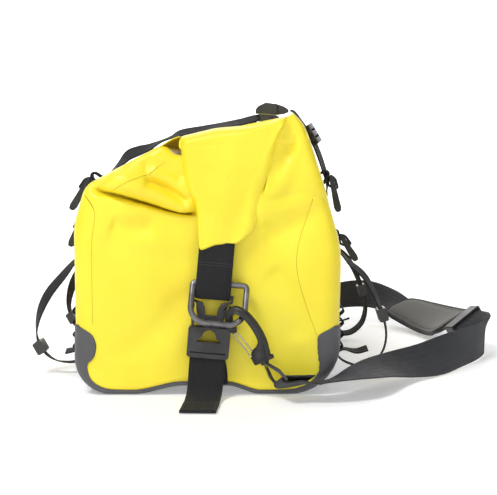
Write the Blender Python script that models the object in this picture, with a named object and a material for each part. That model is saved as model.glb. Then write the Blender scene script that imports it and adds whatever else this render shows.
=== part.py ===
"""Roll-top duffel dry bag: welded fabric body, rolled closure, closure buckles, hooks and straps.

Metres, +Z up. X is the bag's width, Y its length with the front end at -Y, Z its height. The origin
is on the floor under the middle of the base. What exists at both ends is made once for each `end`,
-1 at the front and +1 at the rear, as mirror images in Y.
"""
import math

import bmesh
import bpy
from mathutils import Matrix, Vector

# Bag body
HALF_LENGTH = 0.305
FABRIC = 0.0025
GAP = 0.0003
BASE_HEIGHT = 0.0845
END_ROUND = 0.022
BASE_ROUND = 0.008
END_STEPS = 3
ARC_STEP = math.radians(18)

# Rolled closure and its flaps
SHEET_PITCH = 0.0038
ROLL_TURNS = 1.8
FLAP_BACK = 0.0016
FLAP_THICKNESS = 0.012

# Webbing
WEB_THICKNESS = 0.0018
CLOSURE_WEB = 0.042
SHOULDER_WEB = 0.050
STRAP_WEB = 0.025

# Closure hardware, in its own frame: across, out from the end panel, up
CLOSURE_ORIGIN = (0.0069, 0.136)
CLOSURE_LEAN = math.radians(5)
RING_BAR_OUT = 0.0115
RING_WIRE = 0.0027
RING_WIDTH, RING_HEIGHT = 0.064, 0.050
RING_SHIFT = 0.0075
RING_TILT = math.radians(25)
BUCKLE_HALF = 0.025

# Snap hook
HOOK_THICKNESS = 0.007
HOOK_UP = Vector((-0.51, 0.03, 0.86)).normalized()
HOOK_YAW = math.radians(30)
HOOK_EYE = (-0.0012, 0.0560)
BAIL_UP = Vector((-0.66, 0.13, 0.75)).normalized()
BAIL_BAR_WAY = Vector((-0.40, 0.92, 0.0))
BAIL_BAR_DROP = 0.0310
BAIL_BAR_HALF = 0.0017

# Compression straps, pull tabs and side straps
STATION_Y = 0.195
SIDE_STRAP_Y = 0.150
DAISY_Y = 0.250

FRONT, REAR = -1, 1
NAMES = {FRONT: "front", REAR: "rear"}


def clear_scene():
    for obj in list(bpy.data.objects):
        bpy.data.objects.remove(obj)


def material(name, colour, roughness, metallic=0.0):
    made = bpy.data.materials.new(name)
    made.use_nodes = True
    shader = made.node_tree.nodes["Principled BSDF"]
    shader.inputs["Base Color"].default_value = (*colour, 1.0)
    shader.inputs["Roughness"].default_value = roughness
    shader.inputs["Metallic"].default_value = metallic
    return made


clear_scene()
YELLOW = material("yellow_fabric", (0.95, 0.80, 0.05), 0.55)
GREY = material("base_fabric", (0.09, 0.09, 0.10), 0.60)
WEBBING = material("black_webbing", (0.025, 0.025, 0.028), 0.75)
STRAP = material("strap_webbing", (0.05, 0.05, 0.06), 0.75)
PLASTIC = material("buckle_plastic", (0.04, 0.04, 0.045), 0.40)
COATED = material("coated_ring", (0.16, 0.16, 0.18), 0.30, 0.6)
STEEL = material("gate_steel", (0.70, 0.68, 0.66), 0.25, 1.0)
PAD = material("pad_cloth", (0.11, 0.105, 0.10), 0.80)
RUBBER = material("tab_rubber", (0.03, 0.03, 0.03), 0.60)


# ---- Curves and outlines ----


def smooth_route(points, steps=4):
    """Points along a Catmull-Rom curve through the given vectors."""
    points = [Vector(p) for p in points]
    padded = [2 * points[0] - points[1], *points, 2 * points[-1] - points[-2]]
    route = []
    for a, b, c, d in zip(padded, padded[1:], padded[2:], padded[3:]):
        for k in range(steps):
            t = k / steps
            route.append(
                b + 0.5 * t * ((c - a) + t * ((2 * a - 5 * b + 4 * c - d) + t * (3 * (b - c) + d - a)))
            )
    return [*route, points[-1]]


def fillet(before, corner, after, radius):
    """Points of the arc that rounds a corner, in order."""
    if not radius:
        return [corner.copy()]
    to_before, to_after = (before - corner).normalized(), (after - corner).normalized()
    half = to_before.angle(to_after) / 2
    if half > math.radians(89.5):
        return [corner.copy()]
    middle = corner + (to_before + to_after).normalized() * radius / math.sin(half)
    reach = radius / math.tan(half)
    first, last = corner + to_before * reach - middle, corner + to_after * reach - middle
    turn = math.atan2(first.x * last.y - first.y * last.x, first.dot(last))
    steps = max(1, math.ceil(abs(turn) / ARC_STEP))
    return [middle + Matrix.Rotation(turn * k / steps, 2) @ first for k in range(steps + 1)]


def outline(corners, closed=True):
    """Points of a path of (x, z, fillet radius) corners. An open path keeps its two ends sharp."""
    at = [Vector(c[:2]) for c in corners]
    points = []
    for i, corner in enumerate(corners):
        end = not closed and i in (0, len(corners) - 1)
        radius = 0 if end else corner[2]
        points += fillet(at[i - 1], at[i], at[(i + 1) % len(at)], radius)
    return points


def stroke(path, widths):
    """A closed outline around an open path, as wide as `widths` says at each of its points."""
    left, right = [], []
    for i, (point, width) in enumerate(zip(path, widths)):
        ahead = path[min(i + 1, len(path) - 1)] - path[max(i - 1, 0)]
        side = Vector((-ahead.y, ahead.x)).normalized() * width / 2
        left.append(point + side)
        right.append(point - side)
    return left + right[::-1]


def arc(centre, radius, start, stop, steps):
    """Points of an arc between two angles in degrees."""
    angles = [math.radians(start + (stop - start) * k / steps) for k in range(steps + 1)]
    return [Vector(centre) + radius * Vector((math.cos(a), math.sin(a))) for a in angles]


# ---- Solids ----


def add(name, bm, finish, place=None):
    """A named object from a bmesh, moved to its place."""
    bmesh.ops.recalc_face_normals(bm, faces=bm.faces)
    mesh = bpy.data.meshes.new(name)
    bm.to_mesh(mesh)
    bm.free()
    obj = bpy.data.objects.new(name, mesh)
    bpy.context.scene.collection.objects.link(obj)
    if finish:
        mesh.materials.append(finish)
    if place:
        obj.matrix_world = place
    return obj


def slab_mesh(points, low, high):
    """A bmesh of an outline in the XZ plane, extruded along Y from low to high."""
    bm = bmesh.new()
    near = [bm.verts.new((p.x, low, p.y)) for p in points]
    far = [bm.verts.new((p.x, high, p.y)) for p in points]
    bm.faces.new(near)
    bm.faces.new(far[::-1])
    for i in range(len(points)):
        bm.faces.new((near[i - 1], far[i - 1], far[i], near[i]))
    return bm


def slab(name, points, low, high, finish, place=None):
    return add(name, slab_mesh(points, low, high), finish, place)


def carve(obj, cutters):
    """Cuts each (outline, low, high) slab from an object that stands at its final place."""
    for n, (points, low, high) in enumerate(cutters):
        tool = slab(f"{obj.name}_cutter_{n}", points, low, high, None, obj.matrix_world)
        tool.hide_render = True
        tool.display_type = "WIRE"
        cut = obj.modifiers.new(f"cut_{n}", "BOOLEAN")
        cut.operation = "DIFFERENCE"
        cut.solver = "EXACT"
        cut.object = tool


def box(x_low, x_high, z_low, z_high):
    return [Vector(p) for p in ((x_low, z_low), (x_high, z_low), (x_high, z_high), (x_low, z_high))]


def headings(route):
    """The direction of a route at each of its points."""
    last = len(route) - 1
    return [(route[min(i + 1, last)] - route[max(i - 1, 0)]).normalized() for i in range(last + 1)]


def ribbon(name, route, across, width, thickness, finish, place=None, ways=None):
    """A closed flat strap along a route, with the direction of its width given at each point."""
    bm = bmesh.new()
    rows = []
    ways = ways or headings(route)
    for i, (point, ahead) in enumerate(zip(route, ways)):
        side = (across[i] - ahead * across[i].dot(ahead)).normalized()
        up = side.cross(ahead)
        half_w, half_t = side * width / 2, up * thickness / 2
        corners = (half_w + half_t, half_w - half_t, -half_w - half_t, -half_w + half_t)
        rows.append([bm.verts.new(point + c) for c in corners])
    bm.faces.new(rows[0])
    bm.faces.new(rows[-1][::-1])
    for (a, b, c, d), (e, f, g, h) in zip(rows, rows[1:]):
        bm.faces.new((a, e, f, b))
        bm.faces.new((c, g, h, d))
        # Both broad sides fold along the same diagonal, so a twist keeps its thickness.
        for corners in ((d, h, e), (d, e, a), (b, f, c), (f, g, c)):
            bm.faces.new(corners)
    return add(name, bm, finish, place)


def wire(name, points, radius, closed, finish, place):
    """A round wire through points, as a curve with a bevel."""
    curve = bpy.data.curves.new(name, "CURVE")
    curve.dimensions = "3D"
    curve.bevel_depth = radius
    curve.bevel_resolution = 2
    curve.use_fill_caps = not closed
    spline = curve.splines.new("POLY")
    spline.points.add(len(points) - 1)
    for item, point in zip(spline.points, points):
        item.co = (*point, 1.0)
    spline.use_cyclic_u = closed
    obj = bpy.data.objects.new(name, curve)
    bpy.context.scene.collection.objects.link(obj)
    curve.materials.append(finish)
    obj.matrix_world = place
    return obj


# ---- Bag body: cross-section corners are (x, z, fillet radius, rounding at the bag's ends) ----

LEFT_WALL = [
    (0.024, 0.282, 0.0, 0.006),
    (-0.040, 0.288, 0.008, 0.006),
    (-0.052, 0.301, 0.012, 0.008),
    (-0.146, 0.2515, 0.030, END_ROUND),
    (-0.161, 0.190, 0.100, END_ROUND),
    (-0.161, BASE_HEIGHT + GAP / 2, 0.0, END_ROUND),
]
BASE = [
    (-0.161, BASE_HEIGHT - GAP / 2, 0.0, END_ROUND),
    (-0.161, 0.0, 0.045, BASE_ROUND),
    (0.158, 0.0, 0.062, BASE_ROUND),
    (0.158, BASE_HEIGHT - GAP / 2, 0.0, END_ROUND),
]
RIGHT_WALL = [
    (0.158, BASE_HEIGHT + GAP / 2, 0.0, END_ROUND),
    (0.1605, 0.175, 0.120, END_ROUND),
    (0.1385, 0.252, 0.200, END_ROUND),
    (0.1235, 0.2985, 0.010, 0.008),
    (0.100, 0.293, 0.010, 0.006),
    (0.030, 0.284, 0.0, 0.006),
]


def edge_rounding(point, corners):
    """The end rounding beside a point of the cross-section, between its two nearest corners."""
    near = sorted(corners, key=lambda c: (Vector(c[:2]) - point).length)[:2]
    gaps = [(Vector(c[:2]) - point).length for c in near]
    return (near[0][3] * gaps[1] + near[1][3] * gaps[0]) / sum(gaps)


def section(corners):
    """(point, inward normal, end rounding) along an open stretch of the cross-section."""
    points = outline(corners, closed=False)
    rows = []
    for i, point in enumerate(points):
        ahead = points[min(i + 1, len(points) - 1)] - points[max(i - 1, 0)]
        inward = Vector((-ahead.y, ahead.x)).normalized()
        rows.append((point, inward, edge_rounding(point, corners)))
    return rows


def shell(name, corners, finish):
    """A fabric panel along a stretch of the cross-section, curved in over both ends of the bag."""
    bm = bmesh.new()
    turns = [math.radians(90 * k / END_STEPS) for k in range(END_STEPS, -1, -1)]
    stations = [(-1, a) for a in turns] + [(1, a) for a in turns[::-1]]
    rows = section(corners)

    def layer(inset):
        made = []
        for end, angle in stations:
            ring = []
            for point, inward, edge in rows:
                at = point + inward * (edge - (edge - inset) * math.cos(angle))
                y = end * (HALF_LENGTH - edge + (edge - inset) * math.sin(angle))
                ring.append(bm.verts.new((at.x, y, at.y)))
            made.append(ring)
        return made

    outer, inner = layer(0.0), layer(FABRIC)
    last = len(rows) - 1
    for k in range(len(stations) - 1):
        for i in range(last):
            for sheet in (outer, inner):
                bm.faces.new((sheet[k][i], sheet[k][i + 1], sheet[k + 1][i + 1], sheet[k + 1][i]))
        for i in (0, last):
            bm.faces.new((outer[k][i], outer[k + 1][i], inner[k + 1][i], inner[k][i]))
    for k in (0, -1):
        for i in range(last):
            bm.faces.new((outer[k][i], outer[k][i + 1], inner[k][i + 1], inner[k][i]))
    obj = add(name, bm, finish)
    obj.data.shade_smooth()
    obj.data.set_sharp_from_angle(angle=math.radians(40))
    return obj


def end_panel(end):
    """The flat panel that closes one end, inside the curved edges of the walls and the base."""
    points = []
    for corners in (LEFT_WALL, BASE, RIGHT_WALL):
        points += [point + inward * (edge + GAP) for point, inward, edge in section(corners)]
    low, high = sorted((end * (HALF_LENGTH - FABRIC), end * HALF_LENGTH))
    slab(f"{NAMES[end]}_end_panel", points, low, high, YELLOW)


ROLL = [
    (-0.036, 0.2920, 0.006),
    (0.1245, 0.3012, 0.006),
    (0.1015, 0.3352, 0.005),
    (-0.034, 0.3075, 0.006),
]
STIFFENER = [(0.015, 0.3055), (0.088, 0.3128), (0.0878, 0.3148), (0.0148, 0.3075)]


def inset_corners(corners, depth):
    """Corners of a convex outline, moved in from each of its sides, with smaller fillets."""
    middle = sum((Vector(c[:2]) for c in corners), Vector((0, 0))) / len(corners)
    moved = []
    for i, (x, z, radius) in enumerate(corners):
        at = Vector((x, z))
        lines = []
        for other in (corners[i - 1], corners[(i + 1) % len(corners)]):
            along = (Vector(other[:2]) - at).normalized()
            inward = Vector((-along.y, along.x))
            if inward.dot(middle - at) < 0:
                inward = -inward
            lines.append((inward, inward.dot(at) + depth))
        (a, p), (b, q) = lines
        split = a.x * b.y - a.y * b.x
        crossing = ((p * b.y - q * a.y) / split, (q * a.x - p * b.x) / split)
        moved.append((*crossing, max(radius - depth, 0.0012)))
    return moved


def rolled_closure():
    """The lip of the bag, rolled up as a flattened spiral of fabric, with its stiffener inside."""
    turns = math.ceil(ROLL_TURNS) + 1
    depths = [FABRIC / 2 + SHEET_PITCH * k for k in range(turns)]
    rings = [outline(inset_corners(ROLL, depth)) for depth in depths]
    count = len(rings[0])
    path = []
    for i in range(round(ROLL_TURNS * count)):
        turn, place = divmod(i, count)
        path.append(rings[turn][place].lerp(rings[turn + 1][place], i % count / count))
    slab(
        "rolled_closure", stroke(path, [FABRIC] * len(path)), -HALF_LENGTH, HALF_LENGTH, YELLOW
    )
    strip = [Vector(p) for p in STIFFENER]
    slab("lip_stiffener", strip, -HALF_LENGTH + 0.004, HALF_LENGTH - 0.004, PLASTIC)

FLAP = [
    (-0.0325, 0.3060, 0.004),
    (-0.0266, 0.2490, 0.030),
    (-0.0135, 0.2290, 0.020),
    (-0.0085, 0.1755, 0.003),
    (0.0370, 0.1835, 0.012),
    (0.0580, 0.2040, 0.015),
    (0.0690, 0.2350, 0.040),
    (0.0780, 0.2860, 0.040),
    (0.1005, 0.3335, 0.004),
    (0.0570, 0.3220, 0.100),
]
FLAP_POCKET_TOP = 0.200


def flap(end):
    """The flattened end of the roll, folded down over the end panel, with a pocket for webbing."""
    low, high = sorted(end * (HALF_LENGTH + FLAP_BACK + d) for d in (0, FLAP_THICKNESS))
    obj = slab(f"{NAMES[end]}_flap", outline(FLAP), low, high, YELLOW)
    half = CLOSURE_WEB / 2 + 2 * GAP
    middle = CLOSURE_ORIGIN[0] + math.tan(CLOSURE_LEAN) * (FLAP_POCKET_TOP - CLOSURE_ORIGIN[1])
    pocket = box(middle - half - 0.0015, middle + half, 0.165, FLAP_POCKET_TOP)
    low, high = sorted(end * (HALF_LENGTH + d) for d in (0.0090, 0.0145))
    carve(obj, [(pocket, low, high)])


# ---- Closure hardware ----


def closure_place(end):
    """The closure's frame: X across, Y along the bag, Z up the leaning webbing."""
    x, z = CLOSURE_ORIGIN
    return Matrix.Translation((x, end * HALF_LENGTH, z)) @ Matrix.Rotation(CLOSURE_LEAN, 4, "Y")


def out_range(end, near, far):
    """Two distances out from the end panel, as low and high Y in the closure's frame."""
    return sorted((end * near, end * far))


def upper_webbing(end):
    """Webbing from the flap, down behind the ring's bar, round the plug's bar and up again."""
    half_gap, bar = 0.0040, PLUG_BAR_Z
    profile = [
        (RING_BAR_OUT - 0.0012, 0.0600),
        (RING_BAR_OUT - 0.0012, 0.0350),
        (RING_BAR_OUT - half_gap, 0.0120),
        (RING_BAR_OUT - half_gap, 0.0000),
        (RING_BAR_OUT - half_gap, bar),
        (RING_BAR_OUT - 0.7 * half_gap, bar - 0.7 * half_gap),
        (RING_BAR_OUT, bar - half_gap),
        (RING_BAR_OUT + 0.7 * half_gap, bar - 0.7 * half_gap),
        (RING_BAR_OUT + half_gap, bar),
        (RING_BAR_OUT + half_gap, 0.0000),
        (RING_BAR_OUT + half_gap, 0.0120),
        (RING_BAR_OUT + 0.0012, 0.0350),
        (RING_BAR_OUT + 0.0012, 0.0600),
    ]
    route = smooth_route([(0, end * out, z) for out, z in profile], 2)
    across = [Vector((1, 0, 0))] * len(route)
    name = f"{NAMES[end]}_upper_webbing"
    ribbon(name, route, across, CLOSURE_WEB, WEB_THICKNESS, WEBBING, closure_place(end))


RING = [
    (-RING_WIDTH / 2, 0.0, 0.0045),
    (-RING_WIDTH / 2, -RING_HEIGHT, 0.020),
    (RING_WIDTH / 2, -RING_HEIGHT, 0.020),
    (RING_WIDTH / 2, 0.0, 0.0045),
]


def ring_place(end):
    """The ring's frame: origin on its top bar's axis, tilted so that its lower bar stands out."""
    shift = Matrix.Translation((RING_SHIFT, end * RING_BAR_OUT, 0))
    return closure_place(end) @ shift @ Matrix.Rotation(end * RING_TILT, 4, "X")


def ring(end):
    points = [(p.x, 0, p.y) for p in outline(RING)]
    wire(f"{NAMES[end]}_ring", points, RING_WIRE, True, COATED, ring_place(end))


PLUG_BAR_Z = -0.0147
PLUG_BAR_HALF = 0.0018
PLUG_THICKNESS = 0.0080
CHEEK_Z = -0.0180
TONGUE_END = -0.0560


def plug(end):
    """Buckle plug: webbing bar, cheeks round a narrowing notch, and the tongue in the socket."""
    half = BUCKLE_HALF
    frame = [
        Vector(p)
        for p in (
            (-half, PLUG_BAR_Z + PLUG_BAR_HALF),
            (-half, -0.0215),
            (-0.0185, -0.0250),
            (-0.0178, -0.0330),
            (-0.0150, -0.0440),
            (-0.0085, -0.0530),
            (-0.0085, TONGUE_END),
            (0.0085, TONGUE_END),
            (0.0085, -0.0530),
            (0.0150, -0.0440),
            (0.0178, -0.0330),
            (0.0185, -0.0250),
            (half, -0.0215),
            (half, PLUG_BAR_Z + PLUG_BAR_HALF),
        )
    ]
    low, high = out_range(end, RING_BAR_OUT - PLUG_THICKNESS / 2, RING_BAR_OUT + PLUG_THICKNESS / 2)
    obj = slab(f"{NAMES[end]}_buckle_plug", frame, low, high, PLASTIC, closure_place(end))
    under_bar = PLUG_BAR_Z - PLUG_BAR_HALF
    opening = [(-0.0215, under_bar), (-0.0215, -0.0204), (-0.0115, -0.0235), (-0.0082, -0.0290)]
    opening = [Vector(p) for p in (*opening, (-0.0070, -0.0385))]
    opening += [Vector((-p.x, p.y)) for p in opening[::-1]]
    bar_height = box(-0.03, 0.03, CHEEK_Z, 0.0)
    front = out_range(end, RING_BAR_OUT + PLUG_BAR_HALF, RING_BAR_OUT + 0.01)
    back = out_range(end, RING_BAR_OUT - 0.01, RING_BAR_OUT - PLUG_BAR_HALF)
    through = out_range(end, 0.0, 0.03)
    carve(obj, [(opening, *through), (bar_height, *front), (bar_height, *back)])


ARM_HINGE = (0.0215, -0.0258)
ARM_PATH = [
    (0.0000, 0.0000, 0.0030),
    (0.0010, -0.0100, 0.0030),
    (-0.0002, -0.0200, 0.0030),
    (-0.0014, -0.0290, 0.0034),
    (-0.0012, -0.0320, 0.0076),
    (-0.0012, -0.0375, 0.0084),
    (-0.0026, -0.0398, 0.0060),
]
ARM_THICKNESS = 0.007


def plug_arm(end, side):
    """A sprung release arm, hinged at the plug's cheek, with its pad in the socket's window."""
    path = [Vector((side * x, z)) for x, z, _ in ARM_PATH]
    points = stroke(path, [width for _, _, width in ARM_PATH])
    x, z = ARM_HINGE
    place = closure_place(end) @ Matrix.Translation((side * x, 0, z))
    low, high = out_range(end, RING_BAR_OUT - ARM_THICKNESS / 2, RING_BAR_OUT + ARM_THICKNESS / 2)
    name = f"{NAMES[end]}_plug_arm_{'left' if side < 0 else 'right'}"
    slab(name, points, low, high, PLASTIC, place)


SOCKET_TOP, SOCKET_FLOOR, SOCKET_END = -0.0525, -0.0690, -0.0890
SLOT_TOP, BAR_TOP, BAR_BOTTOM, LOW_BAR_TOP = -0.0712, -0.0746, -0.0780, -0.0850
FRONT_SLOT_TOP, FRONT_SLOT_BOTTOM = -0.0822, -0.0834
LADDER_HALF = 0.0019
WEBBING_ROOM = 0.0052


def socket(end):
    """Buckle socket: a box with side windows and an arch, and below it two bars for the webbing.

    The webbing goes over the upper bar and down behind a front plate with one slot.
    """
    half, mouth, rails = BUCKLE_HALF, 0.0224, 0.0216
    body = outline(
        [
            (-half, SOCKET_TOP, 0.0025),
            (-half, SOCKET_END, 0.004),
            (half, SOCKET_END, 0.004),
            (half, SOCKET_TOP, 0.0025),
        ]
    )
    low, high = out_range(end, RING_BAR_OUT - 0.0070, RING_BAR_OUT + 0.0070)
    obj = slab(f"{NAMES[end]}_buckle_socket", body, low, high, PLASTIC, closure_place(end))
    inside = out_range(end, RING_BAR_OUT - 0.0047, RING_BAR_OUT + 0.0047)
    windows = out_range(end, RING_BAR_OUT - 0.0042, RING_BAR_OUT + 0.0042)
    through = out_range(end, 0.0, 0.03)
    behind = out_range(end, 0.0, RING_BAR_OUT - LADDER_HALF)
    before = out_range(end, RING_BAR_OUT + LADDER_HALF, RING_BAR_OUT + WEBBING_ROOM)
    to_plate = out_range(end, 0.0, RING_BAR_OUT + WEBBING_ROOM)
    plate = out_range(end, RING_BAR_OUT + WEBBING_ROOM - 0.001, 0.03)
    arch = arc((0, -0.0640), 0.0085, 0, 180, 8) + [Vector((-0.0150, -0.0700)), Vector((0.0150, -0.0700))]
    ladder = box(-rails, rails, SOCKET_END - 0.01, SLOT_TOP)
    carve(
        obj,
        [
            (box(-mouth, mouth, SOCKET_FLOOR, 0.0), *inside),
            (box(-0.03, -mouth + 0.001, -0.0675, -0.0552), *windows),
            (box(mouth - 0.001, 0.03, -0.0675, -0.0552), *windows),
            (arch, *through),
            (ladder, *behind),
            (ladder, *before),
            (box(-rails, rails, BAR_TOP, SLOT_TOP - 0.0001), *to_plate),
            (box(-rails, rails, LOW_BAR_TOP, BAR_BOTTOM), *to_plate),
            (box(-rails, rails, FRONT_SLOT_BOTTOM, FRONT_SLOT_TOP), *plate),
        ],
    )


LOWER_WEBBING = [
    (0.0040, 0.0130, 0.0020),
    (0.0045, 0.0300, 0.0010),
    (0.0070, 0.0430, -0.0012),
    (0.0078, 0.0545, -0.0008),
    (0.0078, 0.0612, -0.0002),
    (0.0092, 0.0631, 0.0),
    (0.0115, 0.0637, 0.0),
    (0.0138, 0.0631, 0.0),
    (0.0152, 0.0612, -0.0002),
    (0.0152, 0.0545, -0.0008),
    (0.0156, 0.0430, -0.0018),
    (0.0175, 0.0320, -0.0026),
    (0.0205, 0.0200, -0.0034),
    (0.0270, 0.0100, -0.0043),
    (0.0400, 0.0045, -0.0055),
    (0.0600, 0.0020, -0.0068),
    (0.0850, 0.0014, -0.0082),
    (0.1080, 0.0014, -0.0095),
]


def lower_webbing(end):
    """Webbing from the base up through the socket's ladder, and its tail down to the floor.

    Each point is out from the end panel, up from the floor, and aside from the buckle's middle.
    """
    buckle_x, buckle_z = CLOSURE_ORIGIN
    middle = buckle_x + math.tan(CLOSURE_LEAN) * (0.0637 - buckle_z)
    points = [(middle + aside, end * (HALF_LENGTH + out), z) for out, z, aside in LOWER_WEBBING]
    route = smooth_route(points, 2)
    lean = Vector((math.cos(CLOSURE_LEAN), 0, -math.sin(CLOSURE_LEAN)))
    level = Vector((1, 0, 0))
    across = [level.lerp(lean, min(1.0, max(0.0, (p.z - 0.02) / 0.025))) for p in route]
    ribbon(f"{NAMES[end]}_lower_webbing", route, across, CLOSURE_WEB, WEB_THICKNESS, WEBBING)


# ---- Snap hook ----

HOOK_PATH = [
    (0.0010, 0.0005, 0.0230),
    (0.0018, 0.0080, 0.0225),
    (0.0075, 0.0145, 0.0145),
    (0.0125, 0.0220, 0.0095),
    (0.0145, 0.0330, 0.0085),
    (0.0138, 0.0480, 0.0085),
    (0.0104, 0.0610, 0.0082),
    (0.0035, 0.0690, 0.0080),
    (-0.0045, 0.0700, 0.0078),
    (-0.0110, 0.0650, 0.0075),
    (-0.0140, 0.0560, 0.0072),
    (-0.0140, 0.0460, 0.0085),
]
GATE_HINGE = (-0.0092, 0.0125)
GATE_TIP = (-0.0048, 0.0296)
GATE_HALF = 0.0022
GATE_WIRE = 0.0008


def hook_place(end):
    """The hook's frame: X across towards its spine, Z along it to the eye that holds the ring."""
    corner = math.radians(-45)
    radius = RING[1][2]
    x = RING_WIDTH / 2 - radius + radius * math.cos(corner)
    z = -RING_HEIGHT + radius + radius * math.sin(corner)
    held = ring_place(FRONT) @ Vector((x, 0, z))
    level = Vector((0, 1, 0)).cross(HOOK_UP).normalized()
    outward = level.cross(HOOK_UP)
    side = level * math.cos(HOOK_YAW) + outward * math.sin(HOOK_YAW)
    normal = HOOK_UP.cross(side)
    axes = Matrix((side, normal, HOOK_UP)).transposed().to_4x4()
    origin = held - HOOK_EYE[0] * side - HOOK_EYE[1] * HOOK_UP
    front = Matrix.Translation(origin) @ axes
    mirror = Matrix.Scale(-1, 4, (0, 1, 0))
    return front if end == FRONT else mirror @ front @ mirror


def hook(end):
    rows = smooth_route(HOOK_PATH, 2)
    body = stroke([row.to_2d() for row in rows], [row.z for row in rows])
    half = HOOK_THICKNESS / 2
    obj = slab(f"{NAMES[end]}_hook", body, -half, half, PLASTIC, hook_place(end))
    x, z = GATE_HINGE
    notch = box(x - 0.006, x + 0.0018, z - 0.0018, z + 0.01)
    carve(obj, [(notch, -0.01, 0.01)])


def hook_gate(end):
    """A sprung wire gate from the hook's base to its nose, with its origin on its pivot."""
    x, z = GATE_HINGE
    tip_x, tip_z = GATE_TIP
    side = [(-0.0005, -GATE_HALF, 0), (tip_x * 0.7, -GATE_HALF, tip_z * 0.75), (tip_x, -GATE_HALF, tip_z)]
    points = [*side, (tip_x, 0, tip_z + GATE_HALF), *((px, -py, pz) for px, py, pz in side[::-1])]
    place = hook_place(end) @ Matrix.Translation((x, 0, z))
    wire(f"{NAMES[end]}_hook_gate", points, GATE_WIRE, True, STEEL, place)


def bail_place(end):
    """The bail's frame: X along the bar that holds the strap, Z up to the swivel."""
    bar = (BAIL_BAR_WAY - BAIL_UP * BAIL_BAR_WAY.dot(BAIL_UP)).normalized()
    axes = Matrix((bar, BAIL_UP.cross(bar), BAIL_UP)).transposed().to_4x4()
    front = Matrix.Translation(hook_place(FRONT).translation) @ axes
    mirror = Matrix.Scale(-1, 4, (0, 1, 0))
    return front if end == FRONT else mirror @ front @ mirror


BAIL_FRAME = [(-0.005, -0.0024), (0.005, -0.0024), (0.0295, -0.0180), (0.0295, -0.0327)]
BAIL_WINDOW = [(0.0257, -0.0293), (0.0257, -0.0215), (0.0070, -0.0070)]


def hook_bail(end):
    """The swivel under the hook: a broad frame whose bar carries the shoulder strap."""
    frame = [Vector(p) for p in BAIL_FRAME]
    frame += [Vector((-p.x, p.y)) for p in frame[:1:-1]]
    window = [Vector(p) for p in BAIL_WINDOW]
    window += [Vector((-p.x, p.y)) for p in window[::-1]]
    obj = slab(
        f"{NAMES[end]}_hook_bail", frame, -BAIL_BAR_HALF, BAIL_BAR_HALF, PLASTIC, bail_place(end)
    )
    carve(obj, [(window, -0.01, 0.01)])


# ---- Shoulder strap: hand-chosen route, with the roll of its width from level to upright ----

BAR_LOOP = [
    (0.0350, 0.0032),
    (0.0180, 0.0034),
    (0.0060, 0.0037),
    (0.0000, 0.0039),
    (-0.0036, 0.0016),
    (-0.0036, -0.0016),
    (0.0000, -0.0039),
    (0.0080, -0.0036),
    (0.0200, -0.0022),
]
STRAP_ROUTE = [
    (0.1270, -0.3370, 0.0205, -7),
    (0.1430, -0.3340, 0.0222, -9),
    (0.1640, -0.3240, 0.0240, -6),
    (0.1880, -0.2990, 0.0262, 8),
    (0.2130, -0.2520, 0.0238, 22),
    (0.2450, -0.2050, 0.0205, 36),
    (0.2850, -0.1650, 0.0205, 52),
    (0.3250, -0.1180, 0.0250, 76),
    (0.3600, -0.0650, 0.0260, 87),
    (0.3800, -0.0220, 0.0262, 90),
    (0.3880, 0.0030, 0.0290, 95),
    (0.3850, 0.0210, 0.0365, 116),
    (0.3765, 0.0390, 0.0430, 145),
    (0.3660, 0.0560, 0.0440, 150),
    (0.3570, 0.0800, 0.0385, 150),
    (0.3540, 0.1150, 0.0315, 147),
    (0.3490, 0.1550, 0.0275, 145),
    (0.3400, 0.1950, 0.0265, 147),
    (0.3280, 0.2330, 0.0280, 152),
    (0.3140, 0.2680, 0.0310, 158),
    (0.2990, 0.2980, 0.0350, 160),
    (0.2790, 0.3280, 0.0425, 140),
    (0.2500, 0.3480, 0.0490, 122),
    (0.2150, 0.3580, 0.0470, 122),
    (0.1820, 0.3560, 0.0370, 142),
    (0.1540, 0.3460, 0.0270, 165),
    (0.1270, 0.3370, 0.0205, 173),
]
PAD_FIRST, PAD_LAST = 14, 20
SLIDER_AT = 13
PAD_WIDTH, PAD_THICKNESS = 0.062, 0.010
STRAP_STEPS = 3


def strap_end(end):
    """The stitched loop round a bail's bar, from its cut end to where the strap runs on.

    Also gives the direction of the bar, which is that of the loop's width.
    """
    place = bail_place(end)
    bar, width = place @ Vector((0, 0, -BAIL_BAR_DROP)), place.col[0].to_3d()
    along = width.cross(Vector((0, 0, 1))).normalized() * (1 if width.y > 0 else -1)
    up = Vector((0, 0, 1)) - width * width.z
    return [bar + along * a + up.normalized() * b for a, b in BAR_LOOP], width


def rolled_across(ways, rolls):
    """The direction of the strap's width at each point: level at roll 0, upright at roll 90."""
    across = []
    for way, roll in zip(ways, rolls):
        level = Vector((-way.y, way.x, 0)).normalized()
        angle = math.radians(roll)
        across.append(level * math.cos(angle) + Vector((0, 0, 1)) * math.sin(angle))
    return across


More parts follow.
